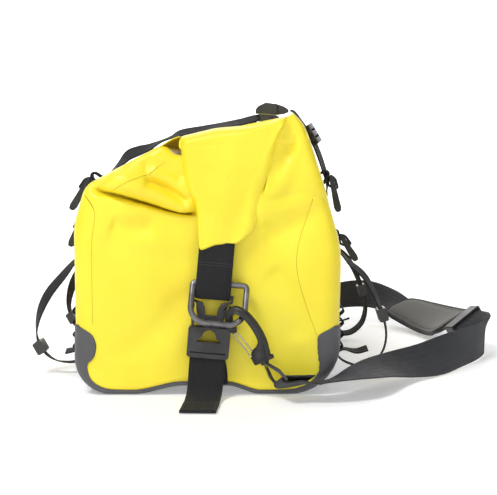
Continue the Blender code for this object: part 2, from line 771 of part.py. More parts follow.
def shoulder_strap():
    """Front and rear webbing, the pad between them, and the slider on the front webbing."""
    rows = smooth_route(STRAP_ROUTE, STRAP_STEPS)
    route = [row.to_3d() for row in rows]
    ways = headings(route)
    across = rolled_across(ways, [row.w for row in rows])
    first, last = PAD_FIRST * STRAP_STEPS, PAD_LAST * STRAP_STEPS

    loop, width = strap_end(FRONT)
    loop = smooth_route(loop, 2)
    front = [*loop, *route[:first], route[first] - ways[first] * GAP]
    front_ways = [*headings(loop), *ways[: first + 1]]
    front_across = [width] * len(loop) + across[: first + 1]
    ribbon(
        "shoulder_strap_front", front, front_across, SHOULDER_WEB, WEB_THICKNESS, STRAP, None, front_ways
    )

    loop, width = strap_end(REAR)
    loop = smooth_route(loop, 2)[::-1]
    rear = [route[last] + ways[last] * GAP, *route[last + 1 :], *loop]
    rear_ways = [*ways[last:], *headings(loop)]
    rear_across = across[last:] + [-width] * len(loop)
    ribbon(
        "shoulder_strap_rear", rear, rear_across, SHOULDER_WEB, WEB_THICKNESS, STRAP, None, rear_ways
    )

    run = slice(first, last + 1)
    ribbon("shoulder_pad", route[run], across[run], PAD_WIDTH, PAD_THICKNESS, PAD, None, ways[run])
    at = SLIDER_AT * STRAP_STEPS
    slider(route[at], ways[at], across[at])


SLIDER_LENGTH, SLIDER_SLOT = 0.018, 0.0060


def slider(at, ahead, across):
    """A frame round the webbing that sets the strap's length."""
    side = (across - ahead * across.dot(ahead)).normalized()
    place = Matrix((side, ahead, side.cross(ahead))).transposed().to_4x4()
    frame = outline([(x, z, 0.002) for x, z in rectangle(0.0295, SLIDER_SLOT / 2 + 0.0025)])
    half = SLIDER_LENGTH / 2
    obj = slab("strap_slider", frame, -half, half, PLASTIC, Matrix.Translation(at) @ place)
    opening = box(-0.0260, 0.0260, -SLIDER_SLOT / 2, SLIDER_SLOT / 2)
    carve(obj, [(opening, -0.02, 0.02)])


def rectangle(half_width, half_height):
    return [
        (-half_width, -half_height),
        (half_width, -half_height),
        (half_width, half_height),
        (-half_width, half_height),
    ]


# ---- Compression straps over the top, at two stations ----

TOP_LEFT = [
    (-0.1500, 0.2545),
    (-0.1400, 0.2575),
    (-0.1280, 0.2645),
    (-0.1150, 0.2760),
    (-0.1040, 0.2870),
    (-0.0910, 0.2925),
    (-0.0780, 0.2970),
    (-0.0634, 0.3040),
    (-0.0500, 0.3095),
    (-0.0367, 0.3150),
    (-0.0099, 0.3205),
    (0.0143, 0.3250),
    (0.0372, 0.3292),
    (0.0545, 0.3345),
]
TOP_LEFT_TWIST = [0, 0, 0, 18, 32, 30, 20, 8, 8, 20, 15, 14, 14, 8]
TOP_RIGHT = [
    (0.1005, 0.3440),
    (0.1085, 0.3430),
    (0.1160, 0.3355),
    (0.1220, 0.3220),
    (0.1275, 0.3040),
    (0.1335, 0.2800),
    (0.1400, 0.2590),
    (0.1470, 0.2350),
]
TOP_BUCKLE = (0.0780, 0.3435)
TOP_BUCKLE_TILT = math.radians(3)


def top_straps(end):
    """Webbing from each shoulder to the buckle on top of the roll."""
    y = end * STATION_Y
    route = smooth_route([(x, y, z) for x, z in TOP_LEFT], 2)
    twists = [t.x for t in smooth_route([(t, 0, 0) for t in TOP_LEFT_TWIST], 2)]
    across = [Vector((0, math.cos(math.radians(t)), -end * math.sin(math.radians(t)))) for t in twists]
    name = NAMES[end]
    ribbon(f"{name}_top_strap_left", route, across, STRAP_WEB, WEB_THICKNESS, WEBBING)
    route = smooth_route([(x, y, z) for x, z in TOP_RIGHT], 3)
    across = [Vector((0, 1, 0))] * len(route)
    ribbon(f"{name}_top_strap_right", route, across, STRAP_WEB, WEB_THICKNESS, WEBBING)


def top_buckle(end):
    """A small side-release buckle: socket towards the left strap, plug towards the right one."""
    x, z = TOP_BUCKLE
    place = Matrix.Translation((x, end * STATION_Y, z)) @ Matrix.Rotation(TOP_BUCKLE_TILT, 4, "Y")
    socket_body = [
        Vector(p)
        for p in (
            (-0.0210, -0.0050),
            (0.0060, -0.0058),
            (0.0060, 0.0078),
            (-0.0090, 0.0088),
            (-0.0180, 0.0040),
            (-0.0210, 0.0000),
        )
    ]
    obj = slab(f"{NAMES[end]}_top_socket", socket_body, -0.0165, 0.0165, PLASTIC, place)
    carve(obj, [(box(-0.0080, 0.0200, -0.0032, 0.0032), -0.0130, 0.0130)])
    plug_body = [
        Vector(p)
        for p in (
            (-0.0075, -0.0028),
            (0.0063, -0.0028),
            (0.0063, -0.0055),
            (0.0150, -0.0040),
            (0.0205, -0.0015),
            (0.0205, 0.0015),
            (0.0150, 0.0050),
            (0.0063, 0.0076),
            (0.0063, 0.0028),
            (-0.0075, 0.0028),
        )
    ]
    slab(f"{NAMES[end]}_top_plug", plug_body, -0.0125, 0.0125, PLASTIC, place)


# ---- Pull tabs: (name, hinge x, hinge z, lean outwards from hanging straight down, length) ----

TABS = [
    ("left_shoulder_tab", -0.1545, 0.2575, -30, 0.046),
    ("left_mid_tab", -0.1640, 0.2080, -22, 0.040),
    ("right_shoulder_tab", 0.1530, 0.2600, 12, 0.046),
    ("right_mid_tab", 0.1655, 0.1850, 32, 0.038),
]


def pull_tab(end, name, x, z, lean, length):
    """A moulded tab that hangs from its top edge and swings about an axis along Y."""
    profile = outline(
        [
            (-0.0025, 0.0, 0.001),
            (-0.0045, 0.006 - length, 0.004),
            (-0.0030, -length, 0.0025),
            (0.0030, -length, 0.0025),
            (0.0045, 0.006 - length, 0.004),
            (0.0025, 0.0, 0.001),
        ]
    )
    place = Matrix.Translation((x, end * STATION_Y, z)) @ Matrix.Rotation(-math.radians(lean), 4, "Y")
    slab(f"{NAMES[end]}_{name}", profile, -0.006, 0.006, RUBBER, place)


# ---- Side straps: webbing from the wall to a buckle by the floor, and back in a hairpin ----

LEFT_SIDE_STRAP = [
    (-0.1628, 0.1720),
    (-0.1690, 0.1580),
    (-0.1815, 0.1460),
    (-0.1934, 0.1317),
    (-0.2130, 0.1080),
    (-0.2240, 0.0880),
    (-0.2300, 0.0680),
    (-0.2310, 0.0500),
    (-0.2260, 0.0350),
    (-0.2160, 0.0230),
    (-0.2030, 0.0160),
    (-0.1850, 0.0145),
    (-0.1720, 0.0190),
    (-0.1665, 0.0260),
    (-0.1735, 0.0310),
    (-0.1850, 0.0300),
    (-0.1930, 0.0285),
]
RIGHT_SIDE_STRAP = [
    (0.1622, 0.1660),
    (0.1720, 0.1560),
    (0.1830, 0.1440),
    (0.1990, 0.1300),
    (0.2110, 0.1110),
    (0.2190, 0.0930),
    (0.2240, 0.0780),
    (0.2290, 0.0600),
    (0.2290, 0.0420),
    (0.2230, 0.0250),
    (0.2080, 0.0120),
    (0.1900, 0.0100),
    (0.1720, 0.0170),
    (0.1655, 0.0260),
    (0.1730, 0.0320),
    (0.1900, 0.0290),
    (0.2050, 0.0330),
]
SIDE_BUCKLES = {"left": 8, "right": 6}


def side_strap(end, side, points):
    """One side's hanging strap and the buckle that it runs through."""
    y = end * SIDE_STRAP_Y
    route = smooth_route([(x, y, z) for x, z in points], 2)
    name = f"{NAMES[end]}_{side}_side"
    ribbon(f"{name}_strap", route, [Vector((0, 1, 0))] * len(route), 0.020, WEB_THICKNESS, WEBBING)
    at = SIDE_BUCKLES[side]
    centre, ahead = route[2 * at], (route[2 * at + 1] - route[2 * at - 1]).normalized()
    tilt = math.atan2(-ahead.z, ahead.x)
    place = Matrix.Translation(centre) @ Matrix.Rotation(tilt, 4, "Y")
    body = outline([(x, z, 0.002) for x, z in rectangle(0.0085, 0.0062)])
    obj = slab(f"{name}_buckle", body, -0.0140, 0.0140, PLASTIC, place)
    carve(obj, [(box(-0.02, 0.02, -0.0030, 0.0030), -0.0106, 0.0106)])


def daisy_chain(end, side, wall):
    """Vertical webbing on a side wall, tacked down between small loops."""
    loops, rise, proud = 4, 0.0145, 0.0070
    points = []
    for k in range(2 * loops + 1):
        z = 0.0450 + k * rise / 2
        out = proud if k % 2 else 0.0014
        points.append((wall(z) + side * out, end * DAISY_Y, z))
    route = smooth_route(points, 3)
    across = [Vector((0, 1, 0))] * len(route)
    name = "left" if side < 0 else "right"
    ribbon(f"{NAMES[end]}_{name}_daisy_chain", route, across, 0.020, WEB_THICKNESS, WEBBING)


def wall_x(corners, side):
    """A function that gives the outermost x of the cross-section at a height."""
    points = [p for stretch in corners for p in outline(stretch, closed=False)]

    def at(z):
        pairs = [(a, b) for a, b in zip(points, points[1:]) if min(a.y, b.y) <= z <= max(a.y, b.y)]
        found = [a.x + (b.x - a.x) * (z - a.y) / (b.y - a.y) for a, b in pairs if a.y != b.y]
        return side * max(side * x for x in found)

    return at


def build():
    shell("left_wall", LEFT_WALL, YELLOW)
    shell("right_wall", RIGHT_WALL, YELLOW)
    shell("base_tub", BASE, GREY)
    rolled_closure()
    shoulder_strap()
    for end in (FRONT, REAR):
        end_panel(end)
        flap(end)
        upper_webbing(end)
        ring(end)
        plug(end)
        plug_arm(end, -1)
        plug_arm(end, 1)
        socket(end)
        lower_webbing(end)
        hook(end)
        hook_gate(end)
        hook_bail(end)
        top_straps(end)
        top_buckle(end)
        for tab in TABS:
            pull_tab(end, *tab)
        side_strap(end, "left", LEFT_SIDE_STRAP)
        side_strap(end, "right", RIGHT_SIDE_STRAP)
    daisy_chain(FRONT, -1, wall_x((LEFT_WALL, BASE), -1))
    daisy_chain(FRONT, 1, wall_x((RIGHT_WALL, BASE), 1))


build()
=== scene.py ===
"""Looks of the roll-top duffel dry bag: coated fabric, webbing, buckles, hooks and shoulder strap.

Metres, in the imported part's frame: X across the bag, -Y its front end, +Z up. What exists at both
ends is made for the front and mirrored in Y for the rear. Routes and sizes follow the CAD part,
but the ring and the hook are a little thicker, and a few straps lie a little differently.
"""

import math

import bpy
import numpy as np
from mathutils import Matrix, Vector, noise


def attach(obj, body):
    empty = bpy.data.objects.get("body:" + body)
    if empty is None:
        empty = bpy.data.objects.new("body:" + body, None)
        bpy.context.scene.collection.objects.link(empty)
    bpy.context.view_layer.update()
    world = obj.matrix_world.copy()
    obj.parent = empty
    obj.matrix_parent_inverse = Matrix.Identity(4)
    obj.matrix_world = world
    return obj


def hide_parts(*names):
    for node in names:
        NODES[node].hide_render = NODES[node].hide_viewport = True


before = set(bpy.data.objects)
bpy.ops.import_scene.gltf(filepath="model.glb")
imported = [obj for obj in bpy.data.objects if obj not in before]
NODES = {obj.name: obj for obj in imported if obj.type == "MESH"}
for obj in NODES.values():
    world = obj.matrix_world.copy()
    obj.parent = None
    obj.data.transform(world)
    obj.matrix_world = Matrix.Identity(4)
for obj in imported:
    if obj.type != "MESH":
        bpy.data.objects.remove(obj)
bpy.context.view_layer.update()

FRONT, REAR = -1, 1
NAMES = {FRONT: "front", REAR: "rear"}

# Bag body
HALF_LENGTH = 0.305
BASE_HEIGHT = 0.0845
END_ROUND, BASE_ROUND, LIP_ROUND = 0.022, 0.008, 0.006
# The rolled cloth's thickness, and the gap between the end panel and the flap's back
FABRIC, FLAP_BACK = 0.0012, 0.0016

ALONG, UP = Vector((0, 1, 0)), Vector((0, 0, 1))

# Webbing and its stitches
WEB_THICKNESS = 0.0018
STITCH = 0.0024
CLOSURE_WEB, SHOULDER_WEB, STRAP_WEB, SIDE_WEB = 0.042, 0.050, 0.025, 0.020
STATION_Y, SIDE_STRAP_Y, DAISY_Y = 0.195, 0.150, 0.250

# Closure hardware, in its own frame: across, out from the end panel, up
CLOSURE_ORIGIN = (0.0069, 0.136)
CLOSURE_LEAN = math.radians(5)
BAR_OUT = 0.0115
PLUG_BAR_Z = -0.0147
# Half the gap between the webbing's two runs at the ring, how high it lasts, and the same where sewn
WEB_GAP, GAP_TOP, SEWN_GAP, SEWN_FOOT = 0.0040, 0.0120, 0.0012, 0.0350
RING_WIRE = 0.0036
RING_WIDTH, RING_HEIGHT, RING_ROUND = 0.064, 0.050, 0.020
RING_SHIFT = 0.0075
RING_TILT = math.radians(25)

# Snap hook
HOOK_THICKNESS = 0.0085
HOOK_FATTER = 1.2
GATE_HALF, GATE_LEAN = 0.0046, math.radians(70)
HOOK_UP = Vector((-0.51, 0.03, 0.86)).normalized()
HOOK_YAW = math.radians(30)
HOOK_EYE = (-0.0012, 0.0560)
GATE_HINGE, GATE_TIP = (-0.0092, 0.0125), (-0.0048, 0.0296)
BAIL_UP = Vector((-0.66, 0.13, 0.75)).normalized()
BAIL_BAR_WAY = Vector((-0.40, 0.92, 0.0))
BAIL_BAR_DROP = 0.0310


# ---- Camera, light and floor ----


def camera():
    data = bpy.data.cameras.new("camera")
    data.sensor_width = 36.0
    data.lens = 91.34
    obj = bpy.data.objects.new("camera", data)
    bpy.context.scene.collection.objects.link(obj)
    obj.location = (0.048, -1.8, 0.29)
    obj.rotation_euler = (math.radians(90 - 4.3), 0, 0)
    bpy.context.scene.camera = obj


def area_light(name, place, aim, size, power):
    data = bpy.data.lights.new(name, "AREA")
    data.shape = "RECTANGLE"
    data.size, data.size_y = size
    data.energy = power
    obj = bpy.data.objects.new(name, data)
    bpy.context.scene.collection.objects.link(obj)
    obj.location = place
    obj.rotation_euler = (Vector(aim) - Vector(place)).to_track_quat("-Z", "Y").to_euler()


def studio():
    """A wide pale floor that curves up into a backdrop in front and behind, and soft lights."""
    half, reach, rise, bend, sink = 16.0, 7.0, 5.0, 1.5, 0.0006
    turns = [math.radians(a) for a in range(0, 91, 10)]
    curve = [(reach - bend + bend * math.sin(a), bend - bend * math.cos(a)) for a in turns]
    profile = [(-y, z) for y, z in [*curve, (reach, rise)][::-1]] + [*curve, (reach, rise)]
    rows = [[(x, y, z - sink) for x in (-half, half)] for y, z in profile]
    floor = grid("floor", rows)
    paper = plain_finish("floor_paper", (0.90, 0.90, 0.90), 0.9)
    shader = paper.node_tree.nodes["Principled BSDF"]
    set_inputs(shader, Emission_Color=(1, 1, 1, 1), Emission_Strength=0.30)
    floor.data.materials.append(paper)
    world = bpy.data.worlds.new("studio")
    world.use_nodes = True
    set_inputs(world.node_tree.nodes["Background"], Color=(1, 1, 1, 1), Strength=0.15)
    scene = bpy.context.scene
    scene.world = world
    scene.view_settings.view_transform = "Standard"
    aim = (0.05, 0, 0.15)
    area_light("key", (-1.1, -1.5, 2.4), aim, (0.9, 0.7), 48)
    area_light("fill", (2.2, -1.8, 1.2), aim, (1.6, 1.6), 4)
    area_light("back", (0.3, 2.4, 2.6), aim, (2.5, 1.2), 12)
    for side, power in ((FRONT, 60), (REAR, 440)):
        area_light(f"backdrop_{NAMES[side]}", (0, side * 3.4, 4.6), (0, side * 6.4, 1.2), (6, 1.5), power)


# ---- Materials ----


def new_material(name, slot=None):
    """A material for one of the record's material slots, whose name it keeps."""
    made = bpy.data.materials.new(f"{name}_look")
    made["slot"] = slot or name
    made.use_nodes = True
    return made, made.node_tree, made.node_tree.nodes["Principled BSDF"]


def set_inputs(node, **values):
    """Sets a node's inputs, whose names are given with underscores for spaces."""
    for name, value in values.items():
        node.inputs[name.replace("_", " ")].default_value = value


def plain_finish(name, colour, roughness):
    made, _, shader = new_material(name)
    set_inputs(shader, Base_Color=(*colour, 1), Roughness=roughness)
    return made


def add_node(tree, kind, values=(), **settings):
    made = tree.nodes.new(kind)
    for key, value in settings.items():
        setattr(made, key, value)
    for key, value in dict(values).items():
        if isinstance(value, bpy.types.NodeSocket):
            tree.links.new(value, made.inputs[key])
        else:
            made.inputs[key].default_value = value
    return made


def maths(tree, operation, *values):
    return add_node(tree, "ShaderNodeMath", dict(enumerate(values)), operation=operation).outputs[0]


def noise_of(tree, place, scale, detail=3.0):
    inputs = {"Vector": place, "Scale": scale, "Detail": detail}
    return add_node(tree, "ShaderNodeTexNoise", inputs).outputs["Fac"]


def colour_ramp(tree, value, stops):
    made = add_node(tree, "ShaderNodeValToRGB", {"Fac": value})
    ramp = made.color_ramp
    while len(ramp.elements) < len(stops):
        ramp.elements.new(0.5)
    for element, (at, colour) in zip(ramp.elements, stops):
        element.position = at
        element.color = (*colour, 1)
    return made.outputs["Color"]


def remap(tree, value, low, high):
    """Spreads the middle of a noise's range over a range of its own."""
    inputs = {"Value": value, "From Min": 0.3, "From Max": 0.7, "To Min": low, "To Max": high}
    return add_node(tree, "ShaderNodeMapRange", inputs).outputs["Result"]


def bumps(tree, shader, layers):
    """Chains bump nodes of (height, depth in metres, strength) into the shader's normal."""
    normal = None
    for height, depth, strength in layers:
        inputs = {"Height": height, "Distance": depth, "Strength": strength}
        if normal:
            inputs["Normal"] = normal
        normal = add_node(tree, "ShaderNodeBump", inputs).outputs["Normal"]
    tree.links.new(normal, shader.inputs["Normal"])


def coordinates(tree, kind="Object"):
    return add_node(tree, "ShaderNodeTexCoord").outputs[kind]


def crossed_threads(tree, place, pitch):
    """A plain weave of threads in both directions of a flat coordinate."""
    split = add_node(tree, "ShaderNodeSeparateXYZ", {"Vector": place}).outputs
    waves = [maths(tree, "SINE", maths(tree, "MULTIPLY", split[k], math.tau / pitch)) for k in (0, 1)]
    return maths(tree, "MULTIPLY", *waves)


def coated_fabric(name, stops, roughness, pitch, weave_strength):
    """Welded fabric under a smooth coating, with a faint weave, rubs and slow changes of colour."""
    made, tree, shader = new_material(name)
    place, flat = coordinates(tree), coordinates(tree, "UV")
    cloud = noise_of(tree, place, 9.0, 5.0)
    tree.links.new(colour_ramp(tree, cloud, stops), shader.inputs["Base Color"])
    rub = noise_of(tree, place, 60.0, 6.0)
    tree.links.new(remap(tree, rub, roughness - 0.06, roughness + 0.08), shader.inputs["Roughness"])
    set_inputs(shader, Coat_Weight=0.12, Coat_Roughness=0.45)
    weave = crossed_threads(tree, flat, pitch)
    ripple = noise_of(tree, place, 26.0, 4.0)
    grain = noise_of(tree, place, 900.0, 2.0)
    bumps(tree, shader, [(ripple, 0.0030, 0.35), (weave, 0.00012, weave_strength), (grain, 0.00005, 0.25)])
    return made


def webbing(name, dark, light, pitch, chevron):
    """Woven strap: threads slant one way and then the other in columns along its length."""
    made, tree, shader = new_material(name)
    flat, place = coordinates(tree, "UV"), coordinates(tree)
    split = add_node(tree, "ShaderNodeSeparateXYZ", {"Vector": flat}).outputs
    slant = maths(tree, "PINGPONG", split[0], chevron)
    turns = maths(tree, "MULTIPLY", maths(tree, "ADD", split[1], slant), math.tau / pitch)
    thread = maths(tree, "MULTIPLY_ADD", maths(tree, "SINE", turns), 0.5, 0.5)
    column = maths(tree, "SINE", maths(tree, "MULTIPLY", split[0], math.tau / chevron))
    fuzz = noise_of(tree, place, 700.0, 3.0)
    worn = noise_of(tree, place, 30.0, 4.0)
    mixed = maths(tree, "MULTIPLY_ADD", thread, 0.45, maths(tree, "MULTIPLY", fuzz, 0.4))
    shade = maths(tree, "MULTIPLY_ADD", worn, 0.25, mixed)
    tree.links.new(colour_ramp(tree, shade, [(0.15, dark), (0.95, light)]), shader.inputs["Base Color"])
    tree.links.new(remap(tree, worn, 0.62, 0.82), shader.inputs["Roughness"])
    set_inputs(shader, Sheen_Weight=0.06, Sheen_Roughness=0.5, Specular_IOR_Level=0.25)
    bumps(tree, shader, [(thread, 0.0004, 0.8), (column, 0.0002, 0.4), (fuzz, 0.0002, 0.35)])
    return made


def pad_fabric():
    """Knitted mesh cloth on the shoulder pad."""
    made, tree, shader = new_material("pad_cloth")
    flat, place = coordinates(tree, "UV"), coordinates(tree)
    cell = add_node(tree, "ShaderNodeTexVoronoi", {"Vector": flat, "Scale": 480.0}).outputs["Distance"]
    fuzz = noise_of(tree, place, 500.0, 3.0)
    shade = maths(tree, "MULTIPLY_ADD", fuzz, 0.5, maths(tree, "MULTIPLY", cell, 0.6))
    stops = [(0.1, (0.044, 0.042, 0.039)), (0.8, (0.078, 0.075, 0.070))]
    tree.links.new(colour_ramp(tree, shade, stops), shader.inputs["Base Color"])
    set_inputs(shader, Roughness=0.9, Sheen_Weight=0.3)
    bumps(tree, shader, [(cell, 0.0006, 0.7), (fuzz, 0.0003, 0.4)])
    return made


def moulded(name, colour, wear_and_highlight_colour, roughness, metallic=0.0, grain=0.00006):
    """Moulded plastic, rubber or coated metal: fine texture, lighter at edges: worn edges on most parts, a
    painted highlight on the coated ring.
    """
    made, tree, shader = new_material(name)
    place = coordinates(tree)
    pointed = add_node(tree, "ShaderNodeNewGeometry").outputs["Pointiness"]
    patch = noise_of(tree, place, 45.0, 5.0)
    fine = noise_of(tree, place, 2200.0, 2.0)
    edge = maths(tree, "MULTIPLY_ADD", maths(tree, "SUBTRACT", pointed, 0.5), 4.0, patch)
    stops = [(0.35, colour), (0.85, wear_and_highlight_colour)]
    tree.links.new(colour_ramp(tree, edge, stops), shader.inputs["Base Color"])
    tree.links.new(remap(tree, patch, roughness - 0.05, roughness + 0.10), shader.inputs["Roughness"])
    set_inputs(shader, Metallic=metallic)
    bumps(tree, shader, [(patch, 0.0004, 0.2), (fine, grain, 0.5)])
    return made


def thread_finish(name, colour):
    """Sewing thread, in the webbing's slot."""
    made, tree, shader = new_material(name, "black_webbing")
    fuzz = noise_of(tree, coordinates(tree), 1500.0, 2.0)
    paler = tuple(1.6 * c for c in colour)
    tree.links.new(colour_ramp(tree, fuzz, [(0.3, colour), (0.7, paler)]), shader.inputs["Base Color"])
    set_inputs(shader, Roughness=0.7, Sheen_Weight=0.3)
    bumps(tree, shader, [(fuzz, 0.0001, 0.6)])
    return made


YELLOW_STOPS = [(0.25, (0.92, 0.71, 0.017)), (0.55, (0.95, 0.80, 0.034)), (0.8, (0.96, 0.83, 0.051))]
# The seams' darker yellow is painted shade of the crease along each welded seam; the ridge itself is real.
SEAM_SHADE_STOPS = [(0.3, (0.66, 0.48, 0.008)), (0.8, (0.74, 0.55, 0.014))]
GREY_STOPS = [(0.3, (0.075, 0.075, 0.083)), (0.75, (0.094, 0.094, 0.103))]
YELLOW = coated_fabric("yellow_fabric", YELLOW_STOPS, 0.42, 0.0016, 0.22)
SHADED_SEAM = coated_fabric("yellow_seam", SEAM_SHADE_STOPS, 0.5, 0.0016, 0.2)
GREY = coated_fabric("base_fabric", GREY_STOPS, 0.5, 0.0019, 0.7)
WEB = webbing("black_webbing", (0.004, 0.004, 0.005), (0.027, 0.027, 0.030), 0.0021, 0.0035)
STRAP = webbing("strap_webbing", (0.012, 0.013, 0.016), (0.060, 0.062, 0.073), 0.0018, 0.0042)
PAD = pad_fabric()
PLASTIC = moulded("buckle_plastic", (0.015, 0.014, 0.016), (0.050, 0.048, 0.052), 0.38)
RUBBER = moulded("tab_rubber", (0.012, 0.012, 0.013), (0.034, 0.034, 0.036), 0.60)
# The coated ring's lighter edge colour is a painted highlight.
COATED = moulded("coated_ring", (0.170, 0.163, 0.175), (0.400, 0.390, 0.410), 0.27, 0.75, 0.00002)
STEEL = moulded("gate_steel", (0.52, 0.51, 0.49), (0.80, 0.79, 0.76), 0.24, 1.0, 0.00002)
THREAD = thread_finish("black_thread", (0.020, 0.020, 0.022))
PALE_THREAD = thread_finish("pale_thread", (0.16, 0.16, 0.17))


# ---- Curves and outlines ----


def smooth_route(points, steps=8):
    """Points along a Catmull-Rom curve through the given vectors."""
    points = [Vector(p) for p in points]
    padded = [2 * points[0] - points[1], *points, 2 * points[-1] - points[-2]]
    route = []
    for a, b, c, d in zip(padded, padded[1:], padded[2:], padded[3:]):
        for k in range(steps):
            t = k / steps
            bend = (2 * a - 5 * b + 4 * c - d) + t * (3 * (b - c) + d - a)
            route.append(b + 0.5 * t * ((c - a) + t * bend))
    return [*route, points[-1]]


def outline(corners, step=math.radians(10)):
    """Points of a closed outline of (x, z, fillet radius) corners."""
    at = [Vector(c[:2]) for c in corners]
    points = []
    for i, (_, _, radius) in enumerate(corners):
        to_last = (at[i - 1] - at[i]).normalized()
        to_next = (at[(i + 1) % len(at)] - at[i]).normalized()
        half = to_last.angle(to_next) / 2
        if not radius or half > math.radians(89.5):
            points.append(at[i])
            continue
        middle = at[i] + (to_last + to_next).normalized() * radius / math.sin(half)
        reach = radius / math.tan(half)
        first, last = at[i] + to_last * reach - middle, at[i] + to_next * reach - middle
        turn = math.atan2(first.x * last.y - first.y * last.x, first.dot(last))
        count = max(1, math.ceil(abs(turn) / step))
        points += [middle + Matrix.Rotation(turn * k / count, 2) @ first for k in range(count + 1)]
    return points


def distances(points):
    """The distance travelled along rows of points, at each of them."""
    return np.concatenate([[0], np.cumsum(np.linalg.norm(np.diff(points, axis=0), axis=1))])


def evenly(points, count, closed=True):
    """Evenly spaced points along a path, as an array of rows."""
    path = np.array([list(p) for p in points])
    if closed:
        path = np.vstack([path, path[:1]])
    along = distances(path)
    places = np.linspace(0, along[-1], count + 1)[:count] if closed else np.linspace(0, along[-1], count)
    return np.stack([np.interp(places, along, path[:, k]) for k in range(path.shape[1])], axis=1)


def inward_ways(points):
    """Unit directions into a closed outline at each of its points."""
    ahead = np.roll(points, -1, axis=0) - np.roll(points, 1, axis=0)
    ways = np.stack([-ahead[:, 1], ahead[:, 0]], axis=1)
    return ways / np.linalg.norm(ways, axis=1)[:, None]


def inset(points, depth):
    """An outline's points moved straight in by a depth."""
    return points + inward_ways(points) * depth


def at_y(points, y):
    """Rows of (x, z) put at a y, or each at its own."""
    return np.column_stack([points[:, 0], np.broadcast_to(y, len(points)), points[:, 1]])


def side_of(x):
    """1 on the bag's right, which is +X, and -1 on its left."""
    return 1 if x > 0 else -1


def smoothed(values, size, ends):
    """A running average of values, whose ends are padded in one of numpy's modes."""
    kernel = np.hanning(size) / np.hanning(size).sum()
    return np.convolve(np.pad(values, size // 2, ends), kernel, "valid")


def headings(route):
    """Unit directions along a route at each of its points."""
    last = len(route) - 1
    return [(route[min(i + 1, last)] - route[max(i - 1, 0)]).normalized() for i in range(last + 1)]


def ease(value, low, high):
    """0 below low, 1 above high, smooth between, for numbers or arrays."""
    t = np.clip((value - low) / (high - low), 0, 1)
    return t * t * (3 - 2 * t)


def hump(value, middle, spread):
    """A smooth hump of height 1 over a middle value."""
    return np.exp(-(((value - middle) / spread) ** 2))


# ---- Meshes ----


def add_mesh(name, points, faces, uv=None):
    """A named object. uv gives one flat coordinate for each point."""
    mesh = bpy.data.meshes.new(name)
    mesh.from_pydata([tuple(map(float, p)) for p in points], [], faces)
    mesh.validate()
    if uv is not None:
        layer = mesh.uv_layers.new(name="flat")
        for loop in mesh.loops:
            layer.data[loop.index].uv = uv[loop.vertex_index]
    mesh.shade_smooth()
    obj = bpy.data.objects.new(name, mesh)
    bpy.context.scene.collection.objects.link(obj)
    return obj


def faces_between(rows, closed):
    """Faces between neighbouring rows of points, whose ends meet where they are closed."""
    width = len(rows[0])
    faces = []
    for r in range(len(rows) - 1):
        for i in range(0 if closed else 1, width):
            before = (i - 1) % width
            faces.append((r * width + before, r * width + i, (r + 1) * width + i, (r + 1) * width + before))
    return faces


def grid(name, rows, uv=None):
    """A surface through rows of points."""
    return add_mesh(name, [p for row in rows for p in row], faces_between(rows, False), uv)


def end_view(rows):
    """Flat coordinates for rows of points, as seen from the bag's end."""
    return [(p[0], p[2]) for row in rows for p in row]


def tube(name, rings, uv=None, capped=True):
    """A closed body through rings of points."""
    faces, count = faces_between(rings, True), len(rings[0])
    if capped:
        faces.append(tuple(range(count))[::-1])
        faces.append(tuple((len(rings) - 1) * count + i for i in range(count)))
    return add_mesh(name, [p for ring in rings for p in ring], faces, uv)


def thicken(obj, thickness, offset=-1.0):
    """Gives a surface a thickness, behind it at offset -1 and in front of it at 1."""
    skin = obj.modifiers.new("skin", "SOLIDIFY")
    skin.thickness, skin.offset = thickness, offset


def round_edges(obj, width, segments):
    """Rounds an object's edges, and gives the modifier that does so."""
    bevel = obj.modifiers.new("bevel", "BEVEL")
    bevel.width, bevel.segments = width, segments
    return bevel


def mirrored(obj, name):
    """A copy of an object reflected to the other end of the bag."""
    mesh = obj.data.copy()
    mesh.transform(Matrix.Scale(-1, 4, (0, 1, 0)) @ obj.matrix_world)
    mesh.flip_normals()
    made = bpy.data.objects.new(name, mesh)
    bpy.context.scene.collection.objects.link(made)
    for modifier in obj.modifiers:
        copy = made.modifiers.new(modifier.name, modifier.type)
        for key in ("thickness", "offset", "width", "segments"):
            if hasattr(modifier, key):
                setattr(copy, key, getattr(modifier, key))
    return made


def finish_piece(obj, material, nodes=(), body="bag"):
    """Gives a piece its material, whose slot it carries, and its body, and hides the CAD nodes that it
    stands for.
    """
    if not obj.data.materials:
        obj.data.materials.append(material)
    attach(obj, body)
    if nodes:
        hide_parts(*nodes)


def both_ends(make, name, material, body=None, node=None, slot=None, **shape):
    """Makes a piece for the front, and its mirror image for the rear.

    The names of the piece, its body and its CAD node get the end's name put before them. A piece
    with no body of its own rides on the bag. shape is handed on to make.
    """
    front = make(f"front_{name}", **shape)
    rear = mirrored(front, f"rear_{name}")
    for obj, end in ((front, "front"), (rear, "rear")):
        nodes = [f"{end}_{node}"] if node else []
        finish_piece(obj, material, nodes, f"{end}_{body}" if body else "bag")


def ribbon(name, route, across, width, thickness=WEB_THICKNESS, ways=None, cup=0.0, columns=8):
    """A strap with rounded edges along a route, with a flat coordinate in metres.

    across is the direction of the width at each point; cup lifts the strap's middle.
    """
    ways = ways or headings(route)
    half, edge = width / 2, thickness * 0.45
    spread = [-half + edge + (width - 2 * edge) * k / columns for k in range(columns + 1)]
    section = [(-half, 0.0), *((s, 0.5) for s in spread), (half, 0.0), *((s, -0.5) for s in spread[::-1])]
    rings, uv, along = [], [], 0.0
    for i, (point, ahead) in enumerate(zip(route, ways)):
        side = (across[i] - ahead * across[i].dot(ahead)).normalized()
        up = side.cross(ahead)
        if i:
            along += (point - route[i - 1]).length
        lift = [cup * (1 - (s / half) ** 2) for s, _ in section]
        rings.append([point + side * s + up * (t * thickness + c) for (s, t), c in zip(section, lift)])
        uv += [(s, along) for s, _ in section]
    return tube(name, rings, uv)


